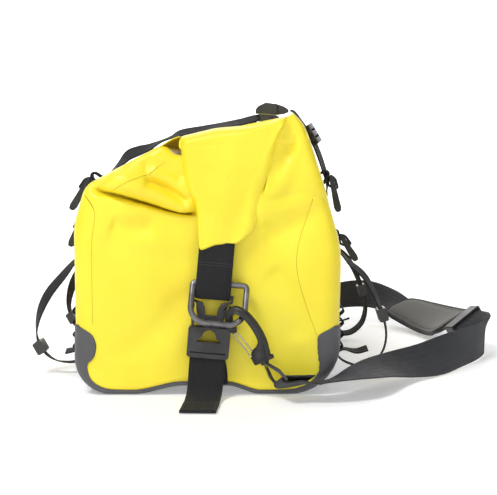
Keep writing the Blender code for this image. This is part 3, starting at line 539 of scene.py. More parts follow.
def wire(name, points, radius, sides):
    """A closed loop of round wire through points."""
    count = len(points)
    ways = [(points[(i + 1) % count] - points[i - 1]).normalized() for i in range(count)]
    side = ways[0].orthogonal().normalized()
    rings = []
    for point, ahead in zip(points, ways):
        side = (side - ahead * side.dot(ahead)).normalized()
        up = side.cross(ahead)
        turns = [math.tau * k / sides for k in range(sides)]
        rings.append([point + (side * math.cos(a) + up * math.sin(a)) * radius for a in turns])
    return tube(name, [*rings, rings[0]], capped=False)


def threads(name, stitches, radius=0.00034, sides=6):
    """Many short stitches, each given by its middle, its direction and the surface's normal."""
    points, faces = [], []
    # Place along the stitch, fatness and lift of the rings from one end of a stitch to the other
    stations = [(-0.5, 0.25, -0.6), (-0.32, 0.9, 0.5), (0.32, 0.9, 0.5), (0.5, 0.25, -0.6)]
    for middle, ahead, normal in stitches:
        side = normal.cross(ahead).normalized()
        first = len(points)
        for along, fat, lift in stations:
            centre = middle + ahead * STITCH * along + normal * radius * lift
            for k in range(sides):
                angle = math.tau * k / sides
                points.append(centre + (side * math.cos(angle) + normal * math.sin(angle)) * radius * fat)
        for r in range(len(stations) - 1):
            for k in range(sides):
                a, b = first + r * sides + k, first + r * sides + (k + 1) % sides
                faces.append((a, b, b + sides, a + sides))
        last = first + (len(stations) - 1) * sides
        faces.append(tuple(first + k for k in range(sides))[::-1])
        faces.append(tuple(last + k for k in range(sides)))
    return add_mesh(name, points, faces)


def seam(route, across, normals, offsets, pitch=0.0034, lift=0.001):
    """Stitches in rows along a strap, each row at an offset across it."""
    stitches, travelled = [], 0.0
    for a, b, side, normal in zip(route, route[1:], across, normals):
        step = (b - a).length
        while travelled < step:
            middle = a.lerp(b, travelled / step)
            for offset in offsets:
                stitches.append((middle + side * offset + normal * lift, (b - a).normalized(), normal))
            travelled += pitch
        travelled -= step
    return stitches


def bar_tack(middle, side, ahead, normal, width, lift=0.0011, rows=7, depth=0.0030):
    """A dense block of stitches straight across a strap."""
    stitches = []
    for k in range(rows):
        along = depth * (k / (rows - 1) - 0.5)
        for j in range(round(width / STITCH)):
            across = -width / 2 + STITCH * (j + 0.5)
            stitches.append((middle + ahead * along + side * across + normal * lift, side, normal))
    return stitches


def bevelled(node, width, material=PLASTIC):
    """Shows a hard CAD node itself, with rounded edges."""
    obj = NODES[node]
    obj.data.materials.clear()
    obj.data.materials.append(material)
    custom = obj.data.attributes.get("custom_normal")
    if custom:
        obj.data.attributes.remove(custom)
    obj.data.shade_smooth()
    weld = obj.modifiers.new("weld", "WELD")
    weld.merge_threshold = 0.00001
    bevel = round_edges(obj, width, 3)
    bevel.limit_method = "ANGLE"
    bevel.angle_limit = math.radians(28)
    bevel.harden_normals = True
    bevel.use_clamp_overlap = True


def bevelled_at_ends(part, width, material=PLASTIC):
    """Shows the front's and the rear's node of a hard part."""
    for end in NAMES.values():
        bevelled(f"{end}_{part}", width, material)


# ---- Bag body: cross-section corners are (x, z, fillet radius, rounding at the bag's ends) ----

SECTION = [
    (0.024, 0.282, 0.0, LIP_ROUND),
    (-0.04, 0.288, 0.008, LIP_ROUND),
    (-0.052, 0.301, 0.012, 0.008),
    (-0.1485, 0.251, 0.028, END_ROUND),
    (-0.1625, 0.203, 0.08, END_ROUND),
    (-0.161, BASE_HEIGHT, 0.0, END_ROUND),
    (-0.161, 0.0, 0.045, BASE_ROUND),
    (0.158, 0.0, 0.062, BASE_ROUND),
    (0.158, BASE_HEIGHT, 0.0, END_ROUND),
    (0.1605, 0.175, 0.12, END_ROUND),
    (0.1385, 0.252, 0.2, END_ROUND),
    (0.1235, 0.2985, 0.01, 0.008),
    (0.1, 0.293, 0.01, LIP_ROUND),
    (0.03, 0.284, 0.0, LIP_ROUND),
]
SECTION_POINTS = 420
SIDE_ROWS, RIM_ROWS, FACE_ROWS = 110, 7, 74
MIDDLE = np.array([0.0, 0.150])


def body_section():
    """Points round the cross-section, the directions into the bag, and the end roundings."""
    points = evenly(outline([c[:3] for c in SECTION]), SECTION_POINTS)
    corners = np.array([c[:2] for c in SECTION])
    gaps = np.linalg.norm(points[:, None] - corners[None], axis=2)
    near = np.argsort(gaps, axis=1)[:, :2]
    picked = np.take_along_axis(gaps, near, axis=1)
    edges = np.array([c[3] for c in SECTION])[near]
    rounding = (edges[:, 0] * picked[:, 1] + edges[:, 1] * picked[:, 0]) / picked.sum(axis=1)
    return points, inward_ways(points), smoothed(rounding, 13, "wrap")


# Pinches in the end panel: points (x, z), depth, width of the cut at its two ends, swell of the
# cloth above it, how far above the swell lies, and how far the swell hangs over the cut
PINCHES = [
    ([(-0.1420, 0.2490), (-0.1330, 0.2476), (-0.1078, 0.2432), (-0.0738, 0.2340), (-0.0395, 0.2240),
      (-0.0060, 0.2185)], 0.0270, 0.0062, 0.0036, 0.0120, 0.0135, 0.0090),
    ([(-0.0760, 0.2600), (-0.0646, 0.2568), (-0.0488, 0.2500), (-0.0190, 0.2330)],
     0.0120, 0.0070, 0.0060, 0.0060, 0.0110, 0.0045),
    ([(-0.1180, 0.2080), (-0.0919, 0.2000), (-0.0600, 0.2035)], 0.0065, 0.0130, 0.0120, 0.0030, 0.0170, 0),
    ([(-0.0800, 0.2780), (-0.0480, 0.2700), (-0.0250, 0.2560)], 0.0040, 0.0070, 0.0070, 0.0025, 0.0080, 0),
    ([(0.0600, 0.1900), (0.0830, 0.1990), (0.1180, 0.2130), (0.1400, 0.2250)],
     0.0055, 0.0140, 0.0150, 0.0030, 0.0180, 0),
    ([(-0.1300, 0.1900), (-0.0900, 0.1700), (-0.0500, 0.1620), (-0.0200, 0.1500)],
     0.0030, 0.0180, 0.0160, 0.0020, 0.0220, 0),
    ([(0.0700, 0.1550), (0.0950, 0.1300), (0.1080, 0.0950), (0.1100, 0.0600)],
     0.0045, 0.0150, 0.0170, 0.0020, 0.0200, 0),
    ([(-0.0300, 0.1300), (-0.0450, 0.0950), (-0.0800, 0.0620), (-0.1250, 0.0450)],
     0.0040, 0.0170, 0.0190, 0.0020, 0.0220, 0),
]

# The grey base skin's height above the yellow cloth, and its thickness
SKIN_LIFT, SKIN_THICKNESS = 0.0004, 0.0008


def near_path(x, z, path):
    """Distance above a path (below is negative) and the share of its length, for arrays of points."""
    line = evenly(smooth_route(path, 6), 40, closed=False)
    a, b = line[:-1], line[1:]
    d = b - a
    px, pz = x[:, None] - a[:, 0], z[:, None] - a[:, 1]
    t = np.clip((px * d[:, 0] + pz * d[:, 1]) / (d**2).sum(axis=1), 0, 1)
    gap = np.hypot(px - t * d[:, 0], pz - t * d[:, 1])
    best = gap.argmin(axis=1)
    rows = np.arange(len(x))
    above = np.sign(d[best, 0] * pz[rows, best] - d[best, 1] * px[rows, best])
    return gap[rows, best] * above, (best + t[rows, best]) / len(a)


def beside_flap(x, z):
    """How far the cloth stands out where it runs on from the flap's right edge."""
    return 0.0105 * hump(x, 0.058, 0.026) * hump(z, 0.232, 0.036)


# Swells of the end panel: x, z, spread across, spread upwards, height
SWELLS = [
    (-0.090, 0.130, 0.050, 0.060, 0.0035),
    (0.110, 0.135, 0.035, 0.060, 0.0040),
    (-0.090, 0.262, 0.035, 0.016, 0.0050),
]


def panel_relief(x, z):
    """How far the end panel stands out, and how far its cloth sags down, at arrays of points."""
    out, drop = beside_flap(x, z), np.zeros_like(x)
    for at_x, at_z, spread_x, spread_z, height in SWELLS:
        out += height * hump(x, at_x, spread_x) * hump(z, at_z, spread_z)
    for path, depth, width, last_width, swell, reach, hang in PINCHES:
        above, share = near_path(x, z, path)
        width = width + (last_width - width) * share
        fade = ease(share, -0.001, 0.14) * (1 - ease(share, 0.80, 1.001))
        out += fade * (swell * hump(above, reach, reach) - depth * hump(above, 0, width))
        sag = hang * (0.65 + 0.35 * share) * fade
        drop += sag * hump(above, 0.4 * reach, 0.6 * reach) * (above > -width)
    return out, drop


def cloud(points, scale, seed):
    """Smooth noise between about -1 and 1 at each point."""
    shift = Vector((seed, 2.3 * seed, -seed))
    return np.array([noise.noise(Vector(p) * scale + shift) for p in points])


# Gathers below the rolled lip on both slopes: (place along the bag, lean, depth)
GATHERS = [
    (-0.262, 0.1, 0.0030), (-0.226, -0.2, 0.0042), (-0.150, 0.25, 0.0050), (-0.112, -0.1, 0.0030),
    (-0.048, 0.15, 0.0040), (0.012, -0.3, 0.0035), (0.064, 0.1, 0.0045), (0.118, 0.2, 0.0035),
    (0.162, -0.2, 0.0048), (0.222, 0.15, 0.0035), (0.258, -0.1, 0.0030),
]


def side_relief(points):
    """How far the long panels stand out at rows of (x, y, z) points."""
    _, y, z = points.T
    calm = 1 - ease(np.abs(y), 0.235, 0.292)
    out = 0.0045 * cloud(points, 7.0, 3.0) + 0.0018 * cloud(points, 19.0, 8.0)
    out *= calm * (0.35 + 0.65 * ease(z, 0.06, 0.13))
    slope = ease(z, 0.185, 0.245) * (1 - ease(z, 0.290, 0.300))
    for place, lean, depth in GATHERS:
        across = y - place - lean * (0.30 - z)
        out += depth * slope * calm * (0.6 * hump(across, 0.014, 0.0100) - hump(across, 0, 0.0085))
    held = hump(np.abs(y), STATION_Y, 0.022) * ease(z, 0.15, 0.22)
    return out * (1 - 0.8 * held) - 0.0012 * held


def settle(points, normals):
    """Folds and sags points of the plain body, given the directions out of its long panels."""
    x, y, z = points.T
    at_end = ease(np.abs(y), HALF_LENGTH - 0.030, HALF_LENGTH - 0.001)
    moved = points + normals * (side_relief(points) * (1 - at_end))[:, None]
    relief, drop = panel_relief(x, z)
    rear = y > 0
    other, sag = panel_relief(x * 0.94 - 0.006, z * 0.98 + 0.004)
    relief, drop = np.where(rear, other, relief), np.where(rear, sag, drop)
    moved[:, 1] += np.sign(y) * at_end * relief
    moved[:, 2] -= at_end * drop
    arch = ease(x, -0.092, -0.030) * (1 - ease(x, 0.022, 0.064))
    moved[:, 2] += 0.0107 * arch * ease(np.abs(y), 0.215, 0.302) * (1 - ease(z, 0.002, 0.045))
    moved[:, 2] = np.maximum(moved[:, 2], SKIN_LIFT + SKIN_THICKNESS)
    return moved


def rim_point(point, inward, edge, turn):
    """A place on the rounded edge between side and end: turn 0 at the side, 90 at the end panel."""
    at = point + inward * (edge * (1 - np.cos(turn)))[:, None]
    return at, HALF_LENGTH - edge * (1 - np.sin(turn))


def along_bag(half, points, edge):
    """Rows along the bag: the front end's, those of the long panels, and the rear end's."""
    shares = [2 * k / SIDE_ROWS - 1 for k in range(SIDE_ROWS + 1)]
    panels = [at_y(points, (HALF_LENGTH - edge) * share) for share in shares]
    return [at_y(at, -y) for at, y in half] + panels + [at_y(at, y) for at, y in half[::-1]]


def end_rows(points, inward, edge):
    """An end's rows of points, from the end panel's middle out to its rounded edge."""
    full = np.full(len(points), math.pi / 2)
    inner, _ = rim_point(points, inward, edge, full)
    shares = [k / (FACE_ROWS + 1) for k in range(FACE_ROWS, 0, -1)]
    rows = [(inner + (MIDDLE - inner) * share, HALF_LENGTH) for share in shares]
    return rows + [rim_point(points, inward, edge, full * k / RIM_ROWS) for k in range(RIM_ROWS, 0, -1)]


def body():
    """The yellow body: both walls and both end panels as one sagging shell."""
    outline_points, inward, edge = body_section()
    rows = along_bag(end_rows(outline_points, inward, edge), outline_points, edge)
    centres = [at_y(MIDDLE[None], end * HALF_LENGTH) for end in (FRONT, REAR)]
    points = np.vstack([*rows, *centres])
    normals = np.vstack([np.tile(at_y(-inward, 0), (len(rows), 1)), np.zeros((2, 3))])
    moved = settle(points, normals)
    girth = distances(outline_points)
    on_face = FACE_ROWS + RIM_ROWS
    uv = []
    for r, row in enumerate(rows):
        side = on_face <= r < len(rows) - on_face
        uv += list(zip(girth, row[:, 1])) if side else list(zip(row[:, 0], row[:, 2]))
    uv += [tuple(MIDDLE)] * 2
    faces, n = [], SECTION_POINTS
    for r in range(len(rows) - 1):
        for i in range(n):
            j = (i + 1) % n
            faces.append((r * n + i, (r + 1) * n + i, (r + 1) * n + j, r * n + j))
    last, end = (len(rows) - 1) * n, len(rows) * n
    faces += [(end, i, (i + 1) % n) for i in range(n)]
    faces += [(end + 1, last + (i + 1) % n, last + i) for i in range(n)]
    panels = ["left_wall", "right_wall", "front_end_panel", "rear_end_panel"]
    finish_piece(add_mesh("bag_body", moved, faces, uv), YELLOW, panels)


# Grey base panel: how far it runs in over the end panel, beside points of the cross-section
BASE_PATCH = [
    (-0.161, 0.0845, 0.002), (-0.161, 0.081, 0.008), (-0.161, 0.0775, 0.015),
    (-0.161, 0.0723, 0.023), (-0.161, 0.0604, 0.0275), (-0.159, 0.0444, 0.0245),
    (-0.157, 0.035, 0.015), (-0.145, 0.013, 0.009), (-0.11, 0.0, 0.0065), (0.0, 0.0, 0.0058),
    (0.085, 0.0, 0.0065), (0.125, 0.009, 0.009), (0.143, 0.02, 0.013), (0.154, 0.036, 0.023),
    (0.158, 0.052, 0.027), (0.158, 0.0725, 0.0278), (0.158, 0.0765, 0.02), (0.158, 0.0845, 0.003),
]
SKIN_ROWS = 16


def base_skin():
    """The grey base panel, welded over the yellow body and in over both end panels."""
    points, inward, edge = body_section()
    x, z = points.T
    low = np.flatnonzero((z < BASE_HEIGHT) & (np.abs(x) > 0.02) | (z < 0.05))
    points, inward, edge = points[low], inward[low], edge[low]
    along = distances(points)
    marks = np.array([np.linalg.norm(points - np.array(p[:2]), axis=1).argmin() for p in BASE_PATCH])
    extent = smoothed(np.interp(along, along[marks], [p[2] for p in BASE_PATCH]), 7, "edge")
    half = []
    for k in range(SKIN_ROWS, 0, -1):
        reach = extent * (1 - math.cos(math.pi / 2 * k / SKIN_ROWS))
        turn = np.arccos(np.clip(1 - reach / edge, 0, 1))
        at, y = rim_point(points, inward, edge, turn)
        at = at + inward * np.maximum(reach - edge, 0)[:, None]
        half.append((at, y))
    rows = along_bag(half, points, edge)
    moved = settle(np.vstack(rows), np.tile(at_y(-inward, 0), (len(rows), 1)))
    moved = moved.reshape(len(rows), len(low), 3)[::-1]
    uv = [(a, row[0, 1]) for row in moved for a in along]
    obj = grid("base_skin", list(moved), uv)
    lift = obj.modifiers.new("lift", "DISPLACE")
    lift.strength, lift.mid_level = SKIN_LIFT, 0.0
    thicken(obj, SKIN_THICKNESS, 1.0)
    finish_piece(obj, GREY, ["base_tub"])


SEAM_WIDTH = 0.0010
SEAM_LINES = [
    [(-0.1465, 0.2398), (-0.1385, 0.2285), (-0.1345, 0.217), (-0.1365, 0.2), (-0.1385, 0.18),
     (-0.1385, 0.13), (-0.138, 0.0854)],
    [(0.124, 0.2354), (0.1165, 0.211), (0.109, 0.188), (0.105, 0.165), (0.1075, 0.14),
     (0.117, 0.108), (0.1297, 0.0724)],
    [(-0.1101, 0.2524), (-0.0782, 0.2616), (-0.0622, 0.2706), (-0.052, 0.2786)],
]


def seam_ridge(name, line):
    """A welded seam on the end panel: a low, narrow ridge in the cloth."""
    route = evenly(smooth_route(line, 8), 60, False)
    flat = at_y(route, -HALF_LENGTH)
    path = [Vector(p) + Vector((0, 0.0003, 0)) for p in settle(flat, np.zeros_like(flat))]
    return ribbon(name, path, [Vector((1, 0, 0.2))] * len(path), SEAM_WIDTH, 0.0012, columns=3)


def seams():
    for n, line in enumerate(SEAM_LINES):
        # The seam ridges' darker colour is painted crease shade.
        both_ends(seam_ridge, f"seam_{n + 1}", SHADED_SEAM, slot="yellow_fabric", line=line)


# ---- Rolled closure and flaps ----

ROLL = [
    (-0.036, 0.292, 0.006), (0.1245, 0.3012, 0.006), (0.1015, 0.3352, 0.005), (-0.034, 0.3075, 0.006),
]
SHEET_PITCH = 0.0038
ROLL_TURNS = 1.8


def rolled_closure():
    """The lip rolled up along the bag, as a spiral sheet that dips and swells along its length."""
    count = 120
    rim = evenly(outline(ROLL), count)
    spiral = []
    for i in range(round(ROLL_TURNS * count)):
        ring = inset(rim, FABRIC + SHEET_PITCH * i / count)
        spiral.append(ring[i % count])
    spiral = np.array(spiral)
    ahead = np.gradient(spiral, axis=0)
    side = np.stack([-ahead[:, 1], ahead[:, 0]], axis=1)
    side /= np.linalg.norm(side, axis=1)[:, None]
    sheet = np.vstack([spiral - side * FABRIC / 2, (spiral + side * FABRIC / 2)[::-1]])
    rows, uv = [], []
    stations = 90
    girth = distances(sheet)
    for k in range(stations + 1):
        y = HALF_LENGTH * (2 * k / stations - 1)
        row = at_y(sheet, y)
        soft = 1 - ease(abs(y), 0.26, 0.30)
        row[:, 2] += soft * 0.0016 * cloud(row, 11.0, 5.0)
        row[:, 0] += soft * 0.0022 * cloud(row, 9.0, 12.0)
        row[:, 2] -= 0.0010 * hump(abs(y), STATION_Y, 0.020) * ease(row[:, 2], 0.30, 0.33)
        rows.append(row)
        uv += [(g, y) for g in girth]
    finish_piece(tube("roll", rows, uv, capped=False), YELLOW, ["rolled_closure"])
    bevelled("lip_stiffener", 0.0004)


def roll_end(name):
    """The roll's end, pressed flat and closed, beside the folded flap."""
    count, rings, bulge, hem_depth = 160, 12, 0.0035, 0.006
    rim = inset(evenly(outline(ROLL), count), 0.0006)
    middle = rim.mean(axis=0)
    rows = []
    for share in (k / rings for k in range(rings + 1)):
        row = at_y(middle + (rim - middle) * math.sin(math.pi / 2 * share), -HALF_LENGTH)
        row[:, 1] -= bulge * math.cos(math.pi / 2 * share) + 0.0012 * cloud(row, 34.0, 4.0) * (1 - share)
        rows.append(row)
    rows.append(rows[-1] + np.array([0, hem_depth, 0]))
    return tube(name, rows, end_view(rows))


FLAP = [
    (-0.0318, 0.3095, 0.004), (-0.0322, 0.3, 0.01), (-0.0278, 0.256, 0.02),
    (-0.0235, 0.243, 0.02), (-0.015, 0.23, 0.02), (-0.0125, 0.213, 0.02),
    (-0.0098, 0.174, 0.003), (0.0095, 0.1815, 0.02), (0.035, 0.183, 0.012), (0.053, 0.1985, 0.02),
    (0.0655, 0.225, 0.04), (0.0715, 0.256, 0.05), (0.078, 0.292, 0.04), (0.0905, 0.321, 0.02),
    (0.1, 0.3362, 0.004), (0.0762, 0.329, 0.03), (0.053, 0.3232, 0.03), (0.0083, 0.3192, 0.06),
]
FLAP_MIDDLE = np.array([0.024, 0.262])
FLAP_RINGS = 44


def flap(name):
    """The flattened end of the roll, folded down over the end panel and lying on its webbing."""
    rim = evenly(outline(FLAP), 260)
    front, back = [], []
    for k in range(FLAP_RINGS + 1):
        at = FLAP_MIDDLE + (rim - FLAP_MIDDLE) * math.sin(math.pi / 2 * k / FLAP_RINGS)
        x, z = at.T
        low = 1 - ease(z, 0.185, 0.235)
        faded = ease(x, 0.042, 0.066) * (1 - ease(z, 0.235, 0.275))
        bend = 0.0125 - 0.0085 * low + 0.022 * faded
        depth = np.linalg.norm(rim - at, axis=1)
        round_in = np.sqrt(np.clip(1 - (1 - np.clip(depth / bend, 0, 1)) ** 2, 0, 1))
        behind = FLAP_BACK + 0.0108 * low - 0.012 * ease(z, 0.285, 0.315)
        thick = FLAP_BACK + 0.0145 - 0.0015 * low - behind
        fold = 0.0016 * hump(x - 0.25 * (z - 0.2), 0.010, 0.014)
        fold -= 0.0014 * hump(x - 0.40 * (z - 0.25), 0.052, 0.010)
        crease = 0.0007 * hump(z - 0.08 * (x + 0.0255), 0.2965, 0.0022) * (1 - ease(x, 0.008, 0.030))
        out = behind + (thick + fold - crease) * round_in
        front.append(at_y(at, -HALF_LENGTH - out))
        back.append(at_y(at, -HALF_LENGTH - behind))
    rows = front + back[:-1][::-1]
    return tube(name, rows, end_view(rows))


# Cloth drawn from the end panel up over the roll's end: its edge under the flap, and its outer edge
GUSSET_INNER = [(0.0640, 0.2200), (0.0660, 0.2400), (0.0700, 0.2600), (0.0730, 0.2800), (0.0790, 0.3050),
                (0.0880, 0.3240), (0.0975, 0.3345)]
GUSSET_OUTER = [(0.1475, 0.2200), (0.1425, 0.2380), (0.1365, 0.2580), (0.1300, 0.2780), (0.1236, 0.2980),
                (0.1135, 0.3230), (0.1010, 0.3372)]


def gusset(name):
    """The cloth beside the flap, from the end panel up to the peak, hollow next to the flap."""
    count, columns = 48, 36
    inner, outer = (evenly(smooth_route(edge, 8), count, False) for edge in (GUSSET_INNER, GUSSET_OUTER))
    share = np.linspace(0, 1, columns + 1)
    rim = np.maximum(0, share - 0.72) / 0.28
    round_off = 0.014 * (1 - np.sqrt(np.maximum(0, 1 - rim**2)))
    rows = []
    for rise, start, stop in zip(np.linspace(0, 1, count), inner, outer):
        at = start + (stop - start) * share[:, None]
        tuck = 0.0022 * (1 - ease(rise, 0.0, 0.12))
        tuck = tuck + 0.0060 * ease(share, 0.55, 0.75) * (1 - ease(rise, 0.0, 0.25))
        swell = 0.0052 * ease(rise, 0.02, 0.40) - tuck
        hollow = 0.0085 * hump(share, 0.42, 0.26) * hump(rise, 0.60, 0.20)
        fold = 0.0040 * hump(share, 0.30 + 0.9 * (rise - 0.30), 0.16)
        fold *= ease(rise, 0.08, 0.25) * (1 - ease(rise, 0.55, 0.75))
        out = swell - hollow + fold - round_off + beside_flap(*at.T)
        rows.append(at_y(at, -HALF_LENGTH - out))
    obj = grid(name, rows, end_view(rows))
    thicken(obj, 0.0010)
    return obj


THROAT = [(-0.0720, 0.2860), (-0.0620, 0.2930), (-0.0520, 0.2995), (-0.0430, 0.3050), (-0.0345, 0.3085)]


def throat():
    """The sheet that leads from the left slope up into the roll, over a small hollow at each end."""
    rows, uv = [], []
    end, stations = HALF_LENGTH - 0.003, 120
    for x, z in evenly(smooth_route(THROAT, 6), 16, False):
        rows.append([(x, end * (2 * k / stations - 1), z) for k in range(stations + 1)])
        uv += [(x, p[1]) for p in rows[-1]]
    obj = grid("throat", rows, uv)
    thicken(obj, 0.0012)
    finish_piece(obj, YELLOW)


def flaps():
    both_ends(flap, "flap_fold", YELLOW, node="flap")
    both_ends(roll_end, "roll_end", YELLOW)
    both_ends(gusset, "gusset", YELLOW)
    throat()


# ---- Closure hardware ----


def closure_place():
    """The front closure's frame: X across, Y along the bag, Z up the leaning webbing."""
    x, z = CLOSURE_ORIGIN
    return Matrix.Translation((x, -HALF_LENGTH, z)) @ Matrix.Rotation(CLOSURE_LEAN, 4, "Y")


def upper_webbing(name):
    """Webbing from the flap, down behind the ring's bar, round the plug's bar and up again."""
    bar, slack, top = PLUG_BAR_Z, 0.7 * WEB_GAP, 0.0490
    half = [(SEWN_GAP, top), (SEWN_GAP, SEWN_FOOT), (WEB_GAP, GAP_TOP), (WEB_GAP, 0.0), (WEB_GAP, bar)]
    half.append((slack, bar - slack))
    profile = [*((-out, z) for out, z in half), (0, bar - WEB_GAP), *half[::-1]]
    place = closure_place()
    route = [place @ Vector((0, -BAR_OUT - out, z)) for out, z in profile]
    smooth = smooth_route(route, 6)
    return ribbon(name, smooth, [place.col[0].to_3d()] * len(smooth), CLOSURE_WEB)


def closure_stitches(name):
    """Two rows of stitches across the webbing, above the ring's bar."""
    place = closure_place()
    across, up = place.col[0].to_3d(), place.col[2].to_3d()
    normal = (up * 0.1 - ALONG).normalized()
    stitches, each_side, pitch = [], 6, 0.0029
    for rise in (0.0215, 0.0245):
        share = (rise - GAP_TOP) / (SEWN_FOOT - GAP_TOP)
        out = BAR_OUT + WEB_GAP * (1 - share) + SEWN_GAP * share + WEB_THICKNESS / 2
        for k in range(-each_side, each_side + 1):
            stitches.append((place @ Vector((k * pitch, -out, rise)), across, normal))
    return threads(name, stitches)


def ring_place():
    """The front ring's frame: origin on its top bar's axis, its lower bar standing out."""
    shift = Matrix.Translation((RING_SHIFT, -BAR_OUT, 0))
    return closure_place() @ shift @ Matrix.Rotation(-RING_TILT, 4, "X")


def ring(name):
    """The ring's wire: a rectangle with its lower corners well rounded."""
    half, tight = RING_WIDTH / 2, 0.0045
    corners = [(-half, 0, tight), (-half, -RING_HEIGHT, RING_ROUND)]
    corners += [(-x, z, fillet) for x, z, fillet in corners[::-1]]
    place = ring_place()
    path = evenly(outline(corners, math.radians(6)), 150)
    return wire(name, [place @ Vector((x, 0, z)) for x, z in path], RING_WIRE, 18)


# Webbing from the base up through the socket's ladder and its tail down to the floor:
# out from the end panel, up from the floor, aside from the buckle's middle
LOWER_WEBBING = [
    (0.004, 0.013, 0.002), (0.0045, 0.03, 0.001), (0.007, 0.043, -0.0012),
    (0.0078, 0.0545, -0.0008), (0.0078, 0.0612, -0.0002), (0.0092, 0.0631, 0.0), (0.0115, 0.0637, 0.0),
    (0.0138, 0.0631, 0.0), (0.0152, 0.0612, -0.0002), (0.0152, 0.0545, -0.0008),
    (0.0156, 0.043, -0.0018), (0.0175, 0.032, -0.0026), (0.0205, 0.02, -0.0034),
    (0.027, 0.01, -0.0043), (0.04, 0.0045, -0.0055), (0.06, 0.002, -0.0068),
    (0.085, 0.0014, -0.0082), (0.108, 0.0014, -0.0095),
]


def lower_route():
    """The lower webbing's route and width directions, from the base to the end of its tail."""
    buckle_x, buckle_z = CLOSURE_ORIGIN
    middle = buckle_x + math.tan(CLOSURE_LEAN) * (0.0637 - buckle_z)
    points = [(middle + aside, -HALF_LENGTH - out, z) for out, z, aside in LOWER_WEBBING]
    route = smooth_route(points, 6)
    lean = Vector((math.cos(CLOSURE_LEAN), 0, -math.sin(CLOSURE_LEAN)))
    level = Vector((1, 0, 0))
    return route, [level.lerp(lean, min(1.0, max(0.0, (p.z - 0.02) / 0.025))) for p in route]


HEM_POINTS = 12


def lower_webbing(name):
    """Webbing from the base up through the socket's ladder and down again, with its tail on the floor."""
    route, across = lower_route()
    return ribbon(name, route, across, CLOSURE_WEB)


def tail_hem(name):
    """The folded and stitched end of the closure webbing's tail."""
    route, across = lower_route()
    hem = [p + Vector((0, 0, WEB_THICKNESS)) for p in route[-HEM_POINTS:]]
    return ribbon(name, hem, across[-HEM_POINTS:], CLOSURE_WEB * 0.985)


def tail_stitches(name):
    """A row of stitches along each edge of the hem, and a tack across each of its ends."""
    route, across = lower_route()
    run, lift = route[-HEM_POINTS:], WEB_THICKNESS * 1.55
    up = [UP] * len(run)
    rows = seam(run, across[-HEM_POINTS:], up, (-0.0175, 0.0175), lift=lift)
    ahead = (run[-1] - run[0]).normalized()
    for end in (1, -2):
        rows += bar_tack(run[end], across[-1], ahead, UP, 0.035, lift, 2, 0.002)
    return threads(name, rows)


def base_tack(name):
    """Where the closure webbing is sewn to the base, under its own tail."""
    route, across = lower_route()
    at = route[4]
    ahead = (route[5] - route[3]).normalized()
    return threads(name, bar_tack(at, across[4], ahead, -ALONG, width=0.036, rows=8, depth=0.008))


def closures():
    both_ends(upper_webbing, "closure_web", WEB, node="upper_webbing")
    both_ends(closure_stitches, "closure_stitches", THREAD)
    both_ends(lower_webbing, "tail_web", WEB, node="lower_webbing")
    both_ends(tail_hem, "tail_hem", WEB)
    both_ends(tail_stitches, "tail_stitches", THREAD)
    both_ends(base_tack, "base_tack", THREAD)
    both_ends(ring, "ring_wire", COATED, "ring", "ring")
    for part in ("buckle_plug", "plug_arm_left", "plug_arm_right", "buckle_socket"):
        bevelled_at_ends(part, 0.0009)


# ---- Snap hook ----

# Spine of the hook's body: across, up, width of the bar
HOOK_PATH = [
    (0.001, 0.0005, 0.023), (0.0018, 0.008, 0.0225), (0.0075, 0.0145, 0.0145),
    (0.0125, 0.022, 0.0095), (0.0145, 0.033, 0.0085), (0.0138, 0.048, 0.0085),
    (0.0104, 0.061, 0.0082), (0.0035, 0.069, 0.008), (-0.0045, 0.07, 0.0078),
    (-0.011, 0.065, 0.0075), (-0.014, 0.056, 0.0072), (-0.014, 0.046, 0.0085),
]


def frame_of(side, normal, up, origin):
    """A frame at an origin, whose X, Y and Z axes are given."""
    return Matrix.Translation(origin) @ Matrix((side, normal, up)).transposed().to_4x4()


def hook_place():
    """The front hook's frame: X across towards its spine, Z along it to the eye on the ring."""
    corner = math.radians(-45)
    x = RING_WIDTH / 2 - RING_ROUND + RING_ROUND * math.cos(corner)
    z = -RING_HEIGHT + RING_ROUND + RING_ROUND * math.sin(corner)
    held = ring_place() @ Vector((x, 0, z))
    level = Vector((0, 1, 0)).cross(HOOK_UP).normalized()
    side = level * math.cos(HOOK_YAW) + level.cross(HOOK_UP) * math.sin(HOOK_YAW)
    origin = held - HOOK_EYE[0] * side - HOOK_EYE[1] * HOOK_UP
    return frame_of(side, HOOK_UP.cross(side), HOOK_UP, origin)


def hook(name):
    """The hook's body: a bar with chamfered edges and a raised rib, swept along its spine."""
    rows = smooth_route(HOOK_PATH, 7)
    middle = [Vector((row.x, 0, row.y)) for row in rows]
    widths = [row.z for row in rows]
    upper = [(-0.5, 0.22), (-0.34, 0.50), (-0.20, 0.50), (-0.14, 0.42), (0.14, 0.42), (0.20, 0.50),
             (0.34, 0.50), (0.5, 0.22)]
    section = [(-0.5, -0.22), *upper, *((s, -t) for s, t in upper[:0:-1])]
    place = hook_place()
    rings = []
    last, nose_rows = len(rows) - 1, 3.4
    for i, (point, way, width) in enumerate(zip(middle, headings(middle), widths)):
        side = Vector((way.z, 0, -way.x))
        fade = min(1.0, math.sqrt((last - i + 0.4) / nose_rows))
        reach = width * HOOK_FATTER * fade
        depth = HOOK_THICKNESS * (0.9 + 0.1 * fade) * fade
        rings.append([place @ (point + side * s * reach + Vector((0, t * depth, 0))) for s, t in section])
    obj = tube(name, rings)
    round_edges(obj, 0.0004, 2)
    return obj


